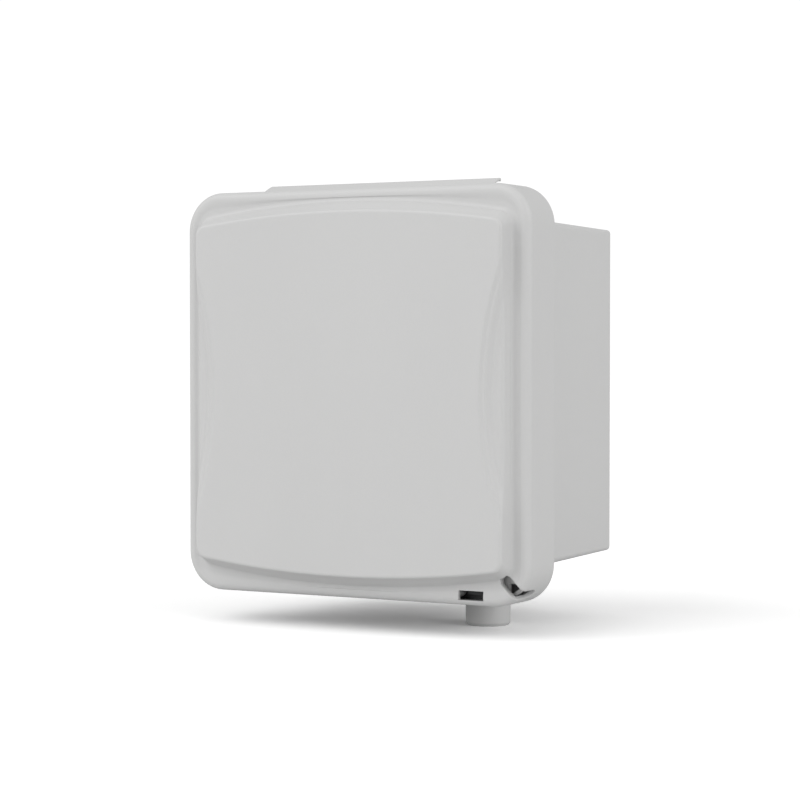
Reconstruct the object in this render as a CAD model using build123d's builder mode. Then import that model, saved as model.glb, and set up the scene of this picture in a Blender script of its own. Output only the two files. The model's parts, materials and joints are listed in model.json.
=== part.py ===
from build123d import *

import os

# An enclosed directional antenna unit: a moulded box with a top-hinged cover, and a small
# yagi inside it that looks out through the cover. Millimetres. X is to the right, Z is up,
# and the unit faces -Y. The origin is on the wall, at the middle of the unit's back.
# "Depth" below always means the distance forward of the wall.

# ---------------------------------------------------------------- cover
COVER_WIDTH = 270
COVER_HEIGHT = 280
COVER_CORNER = 27
COVER_EDGE = 5
COVER_WALL = 3
SKIRT_BACK = 147
RIM_FRONT = 185
PANEL_PROUD = 13
PANEL_FRONT = RIM_FRONT + PANEL_PROUD
PANEL_BASE = (121.5, 130, 10.5)
PANEL_CREST = (120.3, 125, 9)
PANEL_BASE_CORNER = 9
PANEL_CREST_CORNER = 7.5
PANEL_FOOT_WALL = 4.7
PANEL_CREST_WALL = 3.5
PANEL_EDGE = 2.4
RIM_TROUGH = 0.5
RIM_LIP = 5.7
TROUGH_TAPER = 60
SCOOP_DEPTH = 3.5
SCOOP_HALF_HEIGHT = 89
SCOOP_INNER = 110.5
SCOOP_OUTER = 127
SCOOP_TAPER = 63
SCOOP_SPREAD = 8

# ---------------------------------------------------------------- box
BOX_WIDTH = 228
BOX_HEIGHT = 238
BOX_CORNER = 5.5
BOX_WALL = 3
BOX_DRAFT = 1
BOX_BACK_EDGE = 2.2
FOOT_HEIGHT = 1.5
FOOT_RADIUS = 12
WALL_BOSS_RADIUS = 8
PLATE_BOSS_RADIUS = 5.5
FLANGE_BACK = 149
FLANGE_WALL = 3
FLANGE_LIP = 158
FLANGE_LIP_WALL = 2.5
SKIRT_CLEARANCE = 1
NECK_FRONT = 176.5
LUG_BACK = 172
LUG_FRONT = NECK_FRONT - 0.5
LUG_SIZE = (21.5, 27)
LUG_PLACE = (120.25, -122.5)
EYE_BAR_FRONT = 173.5
EYE_SIZE = (14, 10)
EYE_PLACE = (122.25, -129.7)
EYE_POCKET = 20
LUG_OUTLINE = (262, 272, 23)
LUG_EYE_OUTLINE = (257, 267, 20.5)

# ---------------------------------------------------------------- gasket and its ribs
GASKET_WIDTH = 5.6
GASKET_FRONT = RIM_FRONT - COVER_WALL
RIB = 1.6
RIB_BACK = 180
WEB_PITCH = 30

# ---------------------------------------------------------------- wall and plate fixings
WALL_HOLE_SPACING_X = 150
WALL_HOLE_SPACING_Z = 196
WALL_HOLE = 6.5
PLATE_SCREW = 5
PLATE_SCREW_SPACING_X = 160
PLATE_SCREW_SPACING_Z = 140
PLATE_BACK = 12
PLATE_THICK = 2
PLATE_OUTLINE = (180, 160, 4)
PLATE_SLOT = (24, 5)
PLATE_FRONT = PLATE_BACK + PLATE_THICK

# ---------------------------------------------------------------- hinge
HINGE_DEPTH = 142
HINGE_HEIGHT = 139.3
HINGE_PIN = 4
KNUCKLE_RADIUS = 4.2
HOOD_INSIDE = SKIRT_BACK - HINGE_DEPTH
HOOD_WALL = 2
HOOD_TOP = HINGE_HEIGHT + HOOD_INSIDE + HOOD_WALL
HOOD_START = 158
HOOD_HALF_LENGTH = 92
HOOD_END_ANGLE = 84
HOOD_HOLLOW_START = 155
HOOD_LIP = 2.6
PIN_HALF_LENGTH = 81

# ---------------------------------------------------------------- latch and seal slot
LATCH_X = 91.5
TOOL_SLOT = (18.6, 6.5)
TOOL_SLOT_Z = -133.3
BOLT_WIDTH = 16
BOLT_TOP = -126.5
BOLT_BOTTOM = -135.5
BOLT_BACK = 164.5
BOLT_FRONT = 170.5
GUIDE_BACK = 162.3
GUIDE_FRONT = 173
GUIDE_TOP = -127.5
GUIDE_BOTTOM = -136.8
GUIDE_FLOOR = 1.2
GUIDE_SCREW = 3
GUIDE_SCREW_X = 13
GUIDE_SCREW_Z = -132
GUIDE_WIDTH = 32.4
GUIDE_BOSS_RADIUS = 3.5
FINGER_SLOT_WIDTH = 12.4
KEEPER_FRONT = 174.2
KEEPER_BACK = 171.2
KEEPER_BOTTOM = -124.5
KEEPER_WIDTH = 17
SEAL_SLOT_WIDTH = 8.6
SEAL_SLOT_SIDESTEP = -3.5
SEAL_SLOT_START = 165.5
SEAL_SLOT_BACK = 164
SEAL_COLLAR = 5.6

# ---------------------------------------------------------------- yagi, for 902 to 928 MHz
ROD = 6
REFLECTOR_LENGTH = 165
DIPOLE_LENGTH = 154
FIRST_DIRECTOR_LENGTH = 146
SECOND_DIRECTOR_LENGTH = 142
REFLECTOR_DEPTH = 44
DIPOLE_DEPTH = 93
FIRST_DIRECTOR_DEPTH = 129
SECOND_DIRECTOR_DEPTH = 170
DIPOLE_ROD = 5
DIPOLE_HALF_SPACING = 12.5
FEED_GAP = 12
BOOM_SIZE = 14
BOOM_WALL = 1.5
BOOM_BACK = 18.2
BOOM_FRONT = 178

# ---------------------------------------------------------------- entries underneath
HUB_X = 64
HUB_DEPTH = 105
HUB_DIAMETER = 31.4
HUB_END = -162.4
HUB_SOCKET = 26.9
HUB_SOCKET_DEPTH = 32
HUB_THREAD = 21.8
HUB_BORE = 17
HUB_TOP = -103
HUB_FLANGE_RADIUS = 19
PAD_BOTTOM = -120.5
PAD_TOP = -114
VENT_X = -60
VENT_THREAD = 11.9
VENT_CAP = 9
VENT_CAP_HEIGHT = 5
VENT_SEAL = 1
VENT_BORE = 5
EARTH_X = -20
EARTH_DEPTH = 60
EARTH_THREAD = 6
EARTH_END = -139
EARTH_STUD_LENGTH = 40
EARTH_NUT_HEIGHT = 5
EARTH_WIRE = 1.4
EARTH_RELIEF = -134.2
HOLE_GAP = 0.3

# Radial gap where one piece passes through another that holds it, and the same on a diameter.
FIT = 0.05
FIT_ACROSS = 2 * FIT

os.makedirs("parts", exist_ok=True)


def save(part, name):
    """Label a finished piece and write it."""
    part.label = name
    export_step(part, f"parts/{name}.step")


def forward(depth):
    """Sketch plane facing forward: local x is X, local y is Z."""
    return Plane.XZ.offset(depth)


def backward(depth):
    """Sketch plane facing the wall: local x is X, local y is -Z."""
    return Plane(origin=(0, -depth, 0), x_dir=(1, 0, 0), z_dir=(0, 1, 0))


def panel_outline(depth, size, corner, grow=0):
    """Cover panel outline: straight sides, crowned top and bottom, round corners."""
    half_width = size[0] + grow
    crown = size[1] + grow
    shoulder = crown - size[2]
    with BuildSketch(forward(depth)) as outline:
        with BuildLine():
            ThreePointArc((-half_width, shoulder), (0, crown), (half_width, shoulder))
            Line((half_width, shoulder), (half_width, -shoulder))
            ThreePointArc((half_width, -shoulder), (0, -crown), (-half_width, -shoulder))
            Line((-half_width, -shoulder), (-half_width, shoulder))
        make_face()
        fillet(outline.vertices(), corner)
    return outline.sketch


def scoop_outline(depth, side, grow=0):
    """Lens between a shallow arc and the panel's side; side is 1 or -1."""
    outside = side * (COVER_WIDTH / 2 + grow)
    inside = side * (SCOOP_INNER - grow)
    tip = SCOOP_HALF_HEIGHT + 2 * grow
    edge = side * SCOOP_OUTER
    with BuildSketch(forward(depth)) as outline:
        with BuildLine():
            ThreePointArc((edge, tip), (inside, 0), (edge, -tip))
            Polyline((edge, -tip), (outside, -tip), (outside, tip), (edge, tip))
        make_face()
    return outline.sketch


def machine_screw(diameter, length, head, head_height):
    """Pan-head screw with a cross recess, head up, its shank from z = 0 down."""
    recess = head * 0.5
    with BuildPart() as screw:
        Cylinder(head / 2, head_height, align=(Align.CENTER, Align.CENTER, Align.MIN))
        fillet(screw.edges().group_by(Axis.Z)[-1], head_height * 0.45)
        Cylinder(diameter / 2, length, align=(Align.CENTER, Align.CENTER, Align.MAX))
        chamfer(screw.edges().group_by(Axis.Z)[0], diameter * 0.12)
        with Locations((0, 0, head_height)):
            Box(recess, head * 0.11, head_height, mode=Mode.SUBTRACT)
            Box(head * 0.11, recess, head_height, mode=Mode.SUBTRACT)
    return screw.part


def hex_nut(thread, across_flats, height):
    """Hexagon nut standing on z = 0, bored to clear its thread."""
    with BuildPart() as nut:
        with BuildSketch():
            RegularPolygon(across_flats / 2, 6, major_radius=False)
            Circle(thread / 2, mode=Mode.SUBTRACT)
        extrude(amount=height)
        chamfer(nut.edges().filter_by(GeomType.LINE).group_by(Axis.Z)[-1], height * 0.1)
    return nut.part


def washer(bore, outside, height):
    """Flat ring standing on z = 0."""
    with BuildPart() as ring:
        with BuildSketch():
            Circle(outside / 2)
            Circle(bore / 2, mode=Mode.SUBTRACT)
        extrude(amount=height)
    return ring.part


def across(x):
    """Sketch plane facing +X at this x: local x is Y, local y is Z."""
    return Plane.YZ.offset(x)


def grid(spacing_x, spacing_z, depth):
    """The four corners of a rectangle at one depth."""
    signs = [(1, 1), (-1, 1), (-1, -1), (1, -1)]
    return [(sx * spacing_x / 2, -depth, sz * spacing_z / 2) for sx, sz in signs]


# Turns that bring a fastener's head from facing up to facing another way.
FACING_FRONT = (90, 0, 0)
FACING_WALL = (-90, 0, 0)
FACING_DOWN = (180, 0, 0)
FACING_RIGHT = (0, 90, 0)
FACING_LEFT = (0, -90, 0)

# ================================================================ rear box
DIAGONAL = 0.5**0.5
BOX_DEPTH = FLANGE_BACK - FOOT_HEIGHT
REAR_FLOOR = FOOT_HEIGHT + BOX_WALL + 0.5
FLANGE_OUTLINE = (
    COVER_WIDTH - 2 * (COVER_WALL + SKIRT_CLEARANCE),
    COVER_HEIGHT - 2 * (COVER_WALL + SKIRT_CLEARANCE),
    COVER_CORNER - COVER_WALL - SKIRT_CLEARANCE,
)
LIP_HOLE = (
    FLANGE_OUTLINE[0] - 2 * FLANGE_LIP_WALL,
    FLANGE_OUTLINE[1] - 2 * FLANGE_LIP_WALL,
    FLANGE_OUTLINE[2] - FLANGE_LIP_WALL,
)
BOX_OUTLINE = (BOX_WIDTH, BOX_HEIGHT, BOX_CORNER)
NECK_HOLE = (BOX_WIDTH - 2 * BOX_WALL, BOX_HEIGHT - 2 * BOX_WALL, 1)
WALL_BOSS_FRONT = REAR_FLOOR + 3

# The cover's knuckles and the box's knuckles take turns along the hinge pin.
BOX_KNUCKLES = [(-12, 12), (40.4, 62), (-62, -40.4)]
COVER_KNUCKLES = [(12.4, 40), (62.4, 80), (-40, -12.4), (-80, -62.4)]

# Level seats, on both sides of the box's sloping floor: x, depth, radius.
FLOOR_SEATS = [(HUB_X, HUB_DEPTH, 21), (VENT_X, HUB_DEPTH, 12), (EARTH_X, EARTH_DEPTH, 10)]
FLOOR_HOLES = [
    (HUB_X, HUB_DEPTH, HUB_THREAD),
    (VENT_X, HUB_DEPTH, VENT_THREAD),
    (EARTH_X, EARTH_DEPTH, EARTH_THREAD),
]

with BuildPart() as rear_box:
    with BuildSketch(backward(FLANGE_BACK)):
        RectangleRounded(*BOX_OUTLINE)
    extrude(amount=BOX_DEPTH, taper=BOX_DRAFT)
    fillet(rear_box.faces().sort_by(Axis.Y)[-1].edges(), BOX_BACK_EDGE)
    # moulded feet around the wall-screw holes
    with BuildSketch(backward(FOOT_HEIGHT + 1)):
        with GridLocations(WALL_HOLE_SPACING_X, WALL_HOLE_SPACING_Z, 2, 2):
            Circle(FOOT_RADIUS)
    extrude(amount=FOOT_HEIGHT + 1)
    # neck, flange and the gutter lip that the cover's skirt closes over
    with BuildSketch(forward(FLANGE_BACK)):
        RectangleRounded(*BOX_OUTLINE)
    extrude(amount=NECK_FRONT - FLANGE_BACK)
    with BuildSketch(forward(FLANGE_BACK)):
        RectangleRounded(*FLANGE_OUTLINE)
    extrude(amount=FLANGE_WALL)
    with BuildSketch(forward(FLANGE_BACK)):
        RectangleRounded(*FLANGE_OUTLINE)
        RectangleRounded(*LIP_HOLE, mode=Mode.SUBTRACT)
    extrude(amount=FLANGE_LIP - FLANGE_BACK)
    # seal lug behind the cover's corner slot, its gusset, and its eye for a wire or shackle
    with BuildSketch(forward(LUG_BACK)):
        RectangleRounded(*LUG_OUTLINE)
        with Locations(LUG_PLACE):
            Rectangle(*LUG_SIZE, mode=Mode.INTERSECT)
    extrude(amount=LUG_FRONT - LUG_BACK)
    with BuildSketch(forward(FLANGE_BACK)):
        with Locations((111, -120)):
            Rectangle(9, 9)
    extrude(amount=LUG_BACK - FLANGE_BACK)
    with BuildSketch(forward(NECK_FRONT)):
        RectangleRounded(*LUG_EYE_OUTLINE)
        with Locations(EYE_PLACE):
            Rectangle(*EYE_SIZE, mode=Mode.INTERSECT)
    extrude(amount=LUG_BACK - 1 - NECK_FRONT, mode=Mode.SUBTRACT)
    # the bar round the eye stands back, so that a seal wire can be fished out
    with BuildSketch(forward(NECK_FRONT)):
        with Locations((EYE_PLACE[0] - EYE_SIZE[0] / 2, EYE_PLACE[1] + EYE_SIZE[1] / 2)):
            Rectangle(EYE_POCKET, EYE_POCKET, align=(Align.MIN, Align.MAX))
    extrude(amount=EYE_BAR_FRONT - NECK_FRONT, mode=Mode.SUBTRACT)
    # latch keeper, a lip under the neck
    with BuildSketch(forward(KEEPER_BACK)):
        with Locations((LATCH_X, -BOX_HEIGHT / 2 + 1)):
            Rectangle(
                KEEPER_WIDTH,
                1 - BOX_HEIGHT / 2 - KEEPER_BOTTOM,
                align=(Align.CENTER, Align.MAX),
            )
    extrude(amount=KEEPER_FRONT - KEEPER_BACK)
    # level seats under the floor
    for x, depth, radius in FLOOR_SEATS:
        with BuildSketch(Plane.XY.offset(PAD_BOTTOM)):
            with Locations((x, -depth)):
                Circle(radius)
        extrude(amount=4)
    # the hollow, drafted like the outside
    with BuildSketch(backward(FLANGE_BACK)):
        RectangleRounded(*NECK_HOLE)
    extrude(amount=FLANGE_BACK - REAR_FLOOR, taper=BOX_DRAFT, mode=Mode.SUBTRACT)
    with BuildSketch(forward(FLANGE_BACK)):
        RectangleRounded(*NECK_HOLE)
    extrude(amount=NECK_FRONT - FLANGE_BACK, mode=Mode.SUBTRACT)
    # bosses inside: round the wall holes, and for the plate's screws
    with BuildSketch(forward(REAR_FLOOR)):
        with GridLocations(WALL_HOLE_SPACING_X, WALL_HOLE_SPACING_Z, 2, 2):
            Circle(WALL_BOSS_RADIUS)
    extrude(amount=WALL_BOSS_FRONT - REAR_FLOOR)
    with BuildSketch(forward(REAR_FLOOR)):
        with GridLocations(PLATE_SCREW_SPACING_X, PLATE_SCREW_SPACING_Z, 2, 2):
            Circle(PLATE_BOSS_RADIUS)
            Circle(PLATE_SCREW / 2 + FIT, mode=Mode.SUBTRACT)
    extrude(amount=PLATE_BACK - REAR_FLOOR)
    with BuildSketch(forward(0)):
        with GridLocations(WALL_HOLE_SPACING_X, WALL_HOLE_SPACING_Z, 2, 2):
            Circle(WALL_HOLE / 2)
    extrude(amount=WALL_BOSS_FRONT, mode=Mode.SUBTRACT)
    # level seats on the floor, then the holes through it
    for x, depth, radius in FLOOR_SEATS:
        with BuildSketch(Plane.XY.offset(PAD_TOP)):
            with Locations((x, -depth)):
                Circle(radius)
        extrude(amount=-2)
    for x, depth, thread in FLOOR_HOLES:
        with BuildSketch(Plane.XY.offset(PAD_BOTTOM - 1)):
            with Locations((x, -depth)):
                Circle(thread / 2 + HOLE_GAP)
        extrude(amount=PAD_TOP - PAD_BOTTOM + 2, mode=Mode.SUBTRACT)
    # hinge arms rise from the flange, behind the cover's skirt
    for start, end in BOX_KNUCKLES:
        with BuildSketch(across(start)):
            with Locations((-HINGE_DEPTH, HINGE_HEIGHT)):
                Circle(KNUCKLE_RADIUS)
            with BuildLine():
                Polyline(
                    (-FLANGE_BACK, FLANGE_OUTLINE[1] / 2),
                    (-HINGE_DEPTH - KNUCKLE_RADIUS, FLANGE_OUTLINE[1] / 2),
                    (-HINGE_DEPTH - KNUCKLE_RADIUS, HINGE_HEIGHT),
                    (-HINGE_DEPTH + 2, HINGE_HEIGHT - 3.6),
                    (-HINGE_DEPTH + 2, HINGE_HEIGHT - 9),
                    (-FLANGE_BACK, HINGE_HEIGHT - 17),
                    close=True,
                )
            make_face()
            with Locations((-HINGE_DEPTH, HINGE_HEIGHT)):
                Circle(HINGE_PIN / 2, mode=Mode.SUBTRACT)
        extrude(amount=end - start)
save(rear_box.part, "rear_box")

# ================================================================ cover
SEAL_CENTRE = (BOX_WIDTH - BOX_WALL, BOX_HEIGHT - BOX_WALL, 4)
SEAL_HALF = GASKET_WIDTH / 2 + 0.1
PANEL_INSIDE = PANEL_FRONT - COVER_WALL
RIM_INSIDE = RIM_FRONT - COVER_WALL
COVER_OUTLINE = (COVER_WIDTH, COVER_HEIGHT, COVER_CORNER)
COVER_INSIDE = (
    COVER_WIDTH - 2 * COVER_WALL,
    COVER_HEIGHT - 2 * COVER_WALL,
    COVER_CORNER - COVER_WALL,
)
TROUGH_OUTLINE = (
    COVER_WIDTH - 2 * RIM_LIP,
    COVER_HEIGHT - 2 * RIM_LIP,
    COVER_CORNER - RIM_LIP,
)


def seal_loop(grow):
    """Rounded rectangle (w, h, r) beside the line on which the neck meets the gasket."""
    width, height, corner = SEAL_CENTRE
    return (width + 2 * grow, height + 2 * grow, max(corner + grow, 0.5))


def corner_slot(start, width, back, front):
    """Slot along the lower right diagonal, from its round inner end out past the corner."""
    diagonal = Plane(origin=(0, 0, 0), x_dir=(1, 0, -1), z_dir=(0, -1, 0))
    with BuildPart() as slot:
        with BuildSketch(diagonal.offset(back)):
            with Locations((start + width / 2, SEAL_SLOT_SIDESTEP)):
                Circle(width / 2)
                Rectangle(40, width, align=(Align.MIN, Align.CENTER))
        extrude(amount=front - back)
    return slot.part


# What the cover's wall surrounds: the skirt's hollow and the panel's, less the ribs and
# bosses that stand in it.
with BuildPart() as cover_hollow:
    with BuildSketch(forward(SKIRT_BACK)):
        RectangleRounded(*COVER_INSIDE)
    extrude(amount=RIM_INSIDE - SKIRT_BACK)
    loft(
        [
            panel_outline(RIM_INSIDE, PANEL_BASE, PANEL_BASE_CORNER - 2, -PANEL_FOOT_WALL),
            panel_outline(PANEL_INSIDE, PANEL_CREST, PANEL_CREST_CORNER - 2, -PANEL_CREST_WALL),
        ],
        ruled=True,
    )
    for side in (1, -1):
        extrude(
            scoop_outline(PANEL_INSIDE - SCOOP_DEPTH, side, SCOOP_SPREAD),
            amount=SCOOP_DEPTH + 1,
            mode=Mode.SUBTRACT,
        )
    # two ribs hold the gasket, which rests on short webs between them
    with BuildSketch(forward(RIB_BACK)):
        RectangleRounded(*seal_loop(SEAL_HALF + RIB))
        RectangleRounded(*seal_loop(SEAL_HALF), mode=Mode.SUBTRACT)
        RectangleRounded(*seal_loop(-SEAL_HALF))
        RectangleRounded(*seal_loop(-SEAL_HALF - RIB), mode=Mode.SUBTRACT)
    extrude(amount=PANEL_FRONT - RIB_BACK, mode=Mode.SUBTRACT)
    with BuildSketch(forward(GASKET_FRONT)):
        with GridLocations(WEB_PITCH, SEAL_CENTRE[1], 7, 2):
            Rectangle(2, GASKET_WIDTH + 1)
        with GridLocations(SEAL_CENTRE[0], WEB_PITCH, 2, 7):
            Rectangle(GASKET_WIDTH + 1, 2)
    extrude(amount=PANEL_FRONT - GASKET_FRONT, mode=Mode.SUBTRACT)
    # bosses for the latch guide's screws, and a collar inside the corner slot
    with BuildSketch(forward(GUIDE_FRONT)):
        with Locations((LATCH_X, GUIDE_SCREW_Z)):
            with GridLocations(2 * GUIDE_SCREW_X, 1, 2, 1):
                Circle(GUIDE_BOSS_RADIUS)
    extrude(amount=PANEL_FRONT - GUIDE_FRONT, mode=Mode.SUBTRACT)
    add(
        corner_slot(SEAL_SLOT_START - 1, SEAL_SLOT_WIDTH + 5, RIM_FRONT - SEAL_COLLAR, RIM_FRONT),
        mode=Mode.SUBTRACT,
    )

with BuildPart() as hood:
    with BuildSketch(across(-HOOD_HALF_LENGTH)):
        with BuildLine():
            Spline(
                (-HOOD_START, COVER_HEIGHT / 2),
                (-HINGE_DEPTH - 7, HINGE_HEIGHT + 4.6),
                (-HINGE_DEPTH, HOOD_TOP),
                tangents=[(1, 0.1), (1, 0)],
            )
            Line((-HINGE_DEPTH, HOOD_TOP), (-HINGE_DEPTH, HOOD_TOP - HOOD_WALL))
            ThreePointArc(
                (-HINGE_DEPTH, HINGE_HEIGHT + HOOD_INSIDE),
                (-HINGE_DEPTH - DIAGONAL * HOOD_INSIDE, HINGE_HEIGHT + DIAGONAL * HOOD_INSIDE),
                (-SKIRT_BACK, HINGE_HEIGHT),
            )
            Polyline(
                (-SKIRT_BACK, HINGE_HEIGHT),
                (-HOOD_START, HINGE_HEIGHT),
                (-HOOD_START, COVER_HEIGHT / 2),
            )
        make_face()
    extrude(amount=2 * HOOD_HALF_LENGTH)
    # the lip behind the axis curls down a little
    with BuildSketch(across(-HOOD_HALF_LENGTH)):
        with Locations((-HINGE_DEPTH, HINGE_HEIGHT)):
            Circle(HOOD_INSIDE + HOOD_WALL)
            Circle(HOOD_INSIDE, mode=Mode.SUBTRACT)
            with Locations((0, HOOD_INSIDE)):
                Rectangle(
                    HOOD_LIP, 2 * HOOD_WALL, align=(Align.MIN, Align.CENTER), mode=Mode.INTERSECT
                )
    extrude(amount=2 * HOOD_HALF_LENGTH)
    # the hood stands clear of the skirt's top, so its ends are open
    with BuildSketch(across(-HOOD_HALF_LENGTH)):
        with BuildLine():
            Polyline(
                (-HOOD_HOLLOW_START, COVER_HEIGHT / 2),
                (-HINGE_DEPTH - 7, HINGE_HEIGHT + 3),
                (-HINGE_DEPTH - 2.8, HINGE_HEIGHT + 4.1),
                (-SKIRT_BACK, COVER_HEIGHT / 2),
                close=True,
            )
        make_face()
    extrude(amount=2 * HOOD_HALF_LENGTH, mode=Mode.SUBTRACT)
    # ends lean in a little
    with BuildSketch(forward(HOOD_START + 1)):
        with Locations((0, HINGE_HEIGHT)):
            Trapezoid(
                2 * HOOD_HALF_LENGTH,
                HOOD_TOP - HINGE_HEIGHT,
                HOOD_END_ANGLE,
                align=(Align.CENTER, Align.MIN),
            )
    extrude(amount=-30, mode=Mode.INTERSECT)

with BuildPart() as door:
    with BuildSketch(forward(SKIRT_BACK)):
        RectangleRounded(*COVER_OUTLINE)
    extrude(amount=RIM_FRONT - SKIRT_BACK)
    fillet(door.faces().sort_by(Axis.Y)[0].edges(), COVER_EDGE)
    # shallow trough between the rim's lip and the panel
    with BuildSketch(forward(RIM_FRONT)):
        RectangleRounded(*TROUGH_OUTLINE)
    extrude(amount=-RIM_TROUGH, taper=TROUGH_TAPER, mode=Mode.SUBTRACT)
    # raised panel, then its two side scoops
    loft(
        [
            panel_outline(RIM_FRONT - RIM_TROUGH, PANEL_BASE, PANEL_BASE_CORNER),
            panel_outline(PANEL_FRONT, PANEL_CREST, PANEL_CREST_CORNER),
        ],
        ruled=True,
    )
    fillet(door.faces().sort_by(Axis.Y)[0].edges(), PANEL_EDGE)
    for side in (1, -1):
        extrude(
            scoop_outline(PANEL_FRONT - SCOOP_DEPTH, side),
            amount=SCOOP_DEPTH + 1,
            taper=-SCOOP_TAPER,
            mode=Mode.SUBTRACT,
        )
    add(hood.part)
    add(cover_hollow.part, mode=Mode.SUBTRACT)
    # knuckles, tied to the skirt and the hood
    for start, end in COVER_KNUCKLES:
        with BuildSketch(across(start)):
            with Locations((-HINGE_DEPTH, HINGE_HEIGHT)):
                Circle(KNUCKLE_RADIUS)
            with BuildLine():
                Polyline(
                    (-SKIRT_BACK - 0.5, COVER_HEIGHT / 2 - COVER_WALL),
                    (-SKIRT_BACK - 0.5, COVER_HEIGHT / 2 + 2),
                    (-HINGE_DEPTH - 3, HINGE_HEIGHT + 5.2),
                    (-HINGE_DEPTH + 1.5, HINGE_HEIGHT + 5.2),
                    (-HINGE_DEPTH + 1.5, HINGE_HEIGHT),
                    (-HINGE_DEPTH - 2.6, HINGE_HEIGHT - 3.2),
                    close=True,
                )
            make_face()
            with Locations((-HINGE_DEPTH, HINGE_HEIGHT)):
                Circle(HINGE_PIN / 2 + FIT, mode=Mode.SUBTRACT)
        extrude(amount=end - start)
    # tool slot, and the corner slot that wraps from the face onto the skirt
    with BuildSketch(forward(RIM_FRONT + 1)):
        with Locations((LATCH_X, TOOL_SLOT_Z)):
            Rectangle(*TOOL_SLOT)
    extrude(amount=-COVER_WALL - 2, mode=Mode.SUBTRACT)
    add(
        corner_slot(
            SEAL_SLOT_START, SEAL_SLOT_WIDTH, SEAL_SLOT_BACK + SEAL_SLOT_WIDTH / 2, RIM_FRONT + 1
        ),
        mode=Mode.SUBTRACT,
    )
    with BuildSketch(
        Plane(origin=(0, 0, 0), x_dir=(0, 1, 0), z_dir=(1, 0, -1)).offset(SEAL_SLOT_START + 4)
    ):
        with Locations((-SEAL_SLOT_BACK - SEAL_SLOT_WIDTH / 2, SEAL_SLOT_SIDESTEP)):
            Circle(SEAL_SLOT_WIDTH / 2)
    extrude(amount=40, mode=Mode.SUBTRACT)
    with BuildSketch(forward(GUIDE_FRONT)):
        with Locations((LATCH_X, GUIDE_SCREW_Z)):
            with GridLocations(2 * GUIDE_SCREW_X, 1, 2, 1):
                Circle(GUIDE_SCREW / 2 + FIT)
    extrude(amount=7, mode=Mode.SUBTRACT)
save(door.part, "door")

with BuildPart() as hinge_pin:
    with BuildSketch(across(-PIN_HALF_LENGTH)):
        with Locations((-HINGE_DEPTH, HINGE_HEIGHT)):
            Circle(HINGE_PIN / 2)
    extrude(amount=2 * PIN_HALF_LENGTH)
    chamfer(hinge_pin.edges().filter_by(GeomType.CIRCLE), 0.4)
save(hinge_pin.part, "hinge_pin")

with BuildPart() as door_gasket:
    with BuildSketch(forward(NECK_FRONT)):
        RectangleRounded(*seal_loop(GASKET_WIDTH / 2))
        RectangleRounded(*seal_loop(-GASKET_WIDTH / 2), mode=Mode.SUBTRACT)
    extrude(amount=GASKET_FRONT - NECK_FRONT)
save(door_gasket.part, "door_gasket")

# ================================================================ latch
# The bolt slides up in its guide and stands behind the keeper. It is drawn here pulled down,
# clear of the keeper, with its spring squeezed.
BOLT_CENTRE = (BOLT_BACK + BOLT_FRONT) / 2
SPRING_POCKET_TOP = -129.5
SPRING_RADIUS = 1.75
SPRING_WIRE = 0.3
FINGER_FRONT = 177.5

with BuildPart() as latch_guide:
    with BuildSketch(forward(GUIDE_BACK)):
        with Locations((LATCH_X, GUIDE_BOTTOM)):
            Rectangle(GUIDE_WIDTH, GUIDE_TOP - GUIDE_BOTTOM, align=(Align.CENTER, Align.MIN))
    extrude(amount=GUIDE_FRONT - GUIDE_BACK)
    with Locations((LATCH_X, -BOLT_CENTRE, GUIDE_BOTTOM + GUIDE_FLOOR)):
        Box(
            BOLT_WIDTH + 0.2,
            BOLT_FRONT - BOLT_BACK + 0.2,
            20,
            align=(Align.CENTER, Align.CENTER, Align.MIN),
            mode=Mode.SUBTRACT,
        )
    with Locations((LATCH_X, -GUIDE_FRONT, -133.4)):
        Box(FINGER_SLOT_WIDTH, 6, 20, align=(Align.CENTER, Align.CENTER, Align.MIN), mode=Mode.SUBTRACT)
    with BuildSketch(forward(GUIDE_BACK)):
        with Locations((LATCH_X, GUIDE_SCREW_Z)):
            with GridLocations(2 * GUIDE_SCREW_X, 1, 2, 1):
                Circle(GUIDE_SCREW / 2 + FIT)
    extrude(amount=GUIDE_FRONT - GUIDE_BACK, mode=Mode.SUBTRACT)
save(latch_guide.part, "latch_guide")

with BuildPart() as latch_bolt:
    with BuildSketch(forward(BOLT_BACK)):
        with Locations((LATCH_X, BOLT_BOTTOM)):
            Rectangle(BOLT_WIDTH, BOLT_TOP - BOLT_BOTTOM, align=(Align.CENTER, Align.MIN))
    extrude(amount=BOLT_FRONT - BOLT_BACK)
    chamfer(latch_bolt.edges().filter_by(Axis.X).group_by(Axis.Z)[-1], 0.8)
    with BuildSketch(forward(BOLT_FRONT)):
        with Locations((LATCH_X, -132.2)):
            RectangleRounded(11.6, 2, 0.6)
    extrude(amount=FINGER_FRONT - BOLT_FRONT)
    with BuildSketch(Plane.XY.offset(BOLT_BOTTOM)):
        with Locations((LATCH_X, -BOLT_CENTRE)):
            Circle(SPRING_RADIUS + SPRING_WIRE + 0.1)
    extrude(amount=SPRING_POCKET_TOP - BOLT_BOTTOM, mode=Mode.SUBTRACT)
save(latch_bolt.part, "latch_bolt")

SPRING_FLOOR = GUIDE_BOTTOM + GUIDE_FLOOR + SPRING_WIRE + 0.02
with BuildPart() as latch_spring:
    with BuildLine():
        coil = Helix(
            pitch=1.36,
            height=SPRING_POCKET_TOP - SPRING_WIRE - 0.02 - SPRING_FLOOR,
            radius=SPRING_RADIUS,
            center=(LATCH_X, -BOLT_CENTRE, SPRING_FLOOR),
        )
    with BuildSketch(Plane(origin=coil @ 0, z_dir=coil % 0)):
        Circle(SPRING_WIRE)
    sweep()
save(latch_spring.part, "latch_spring")

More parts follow.
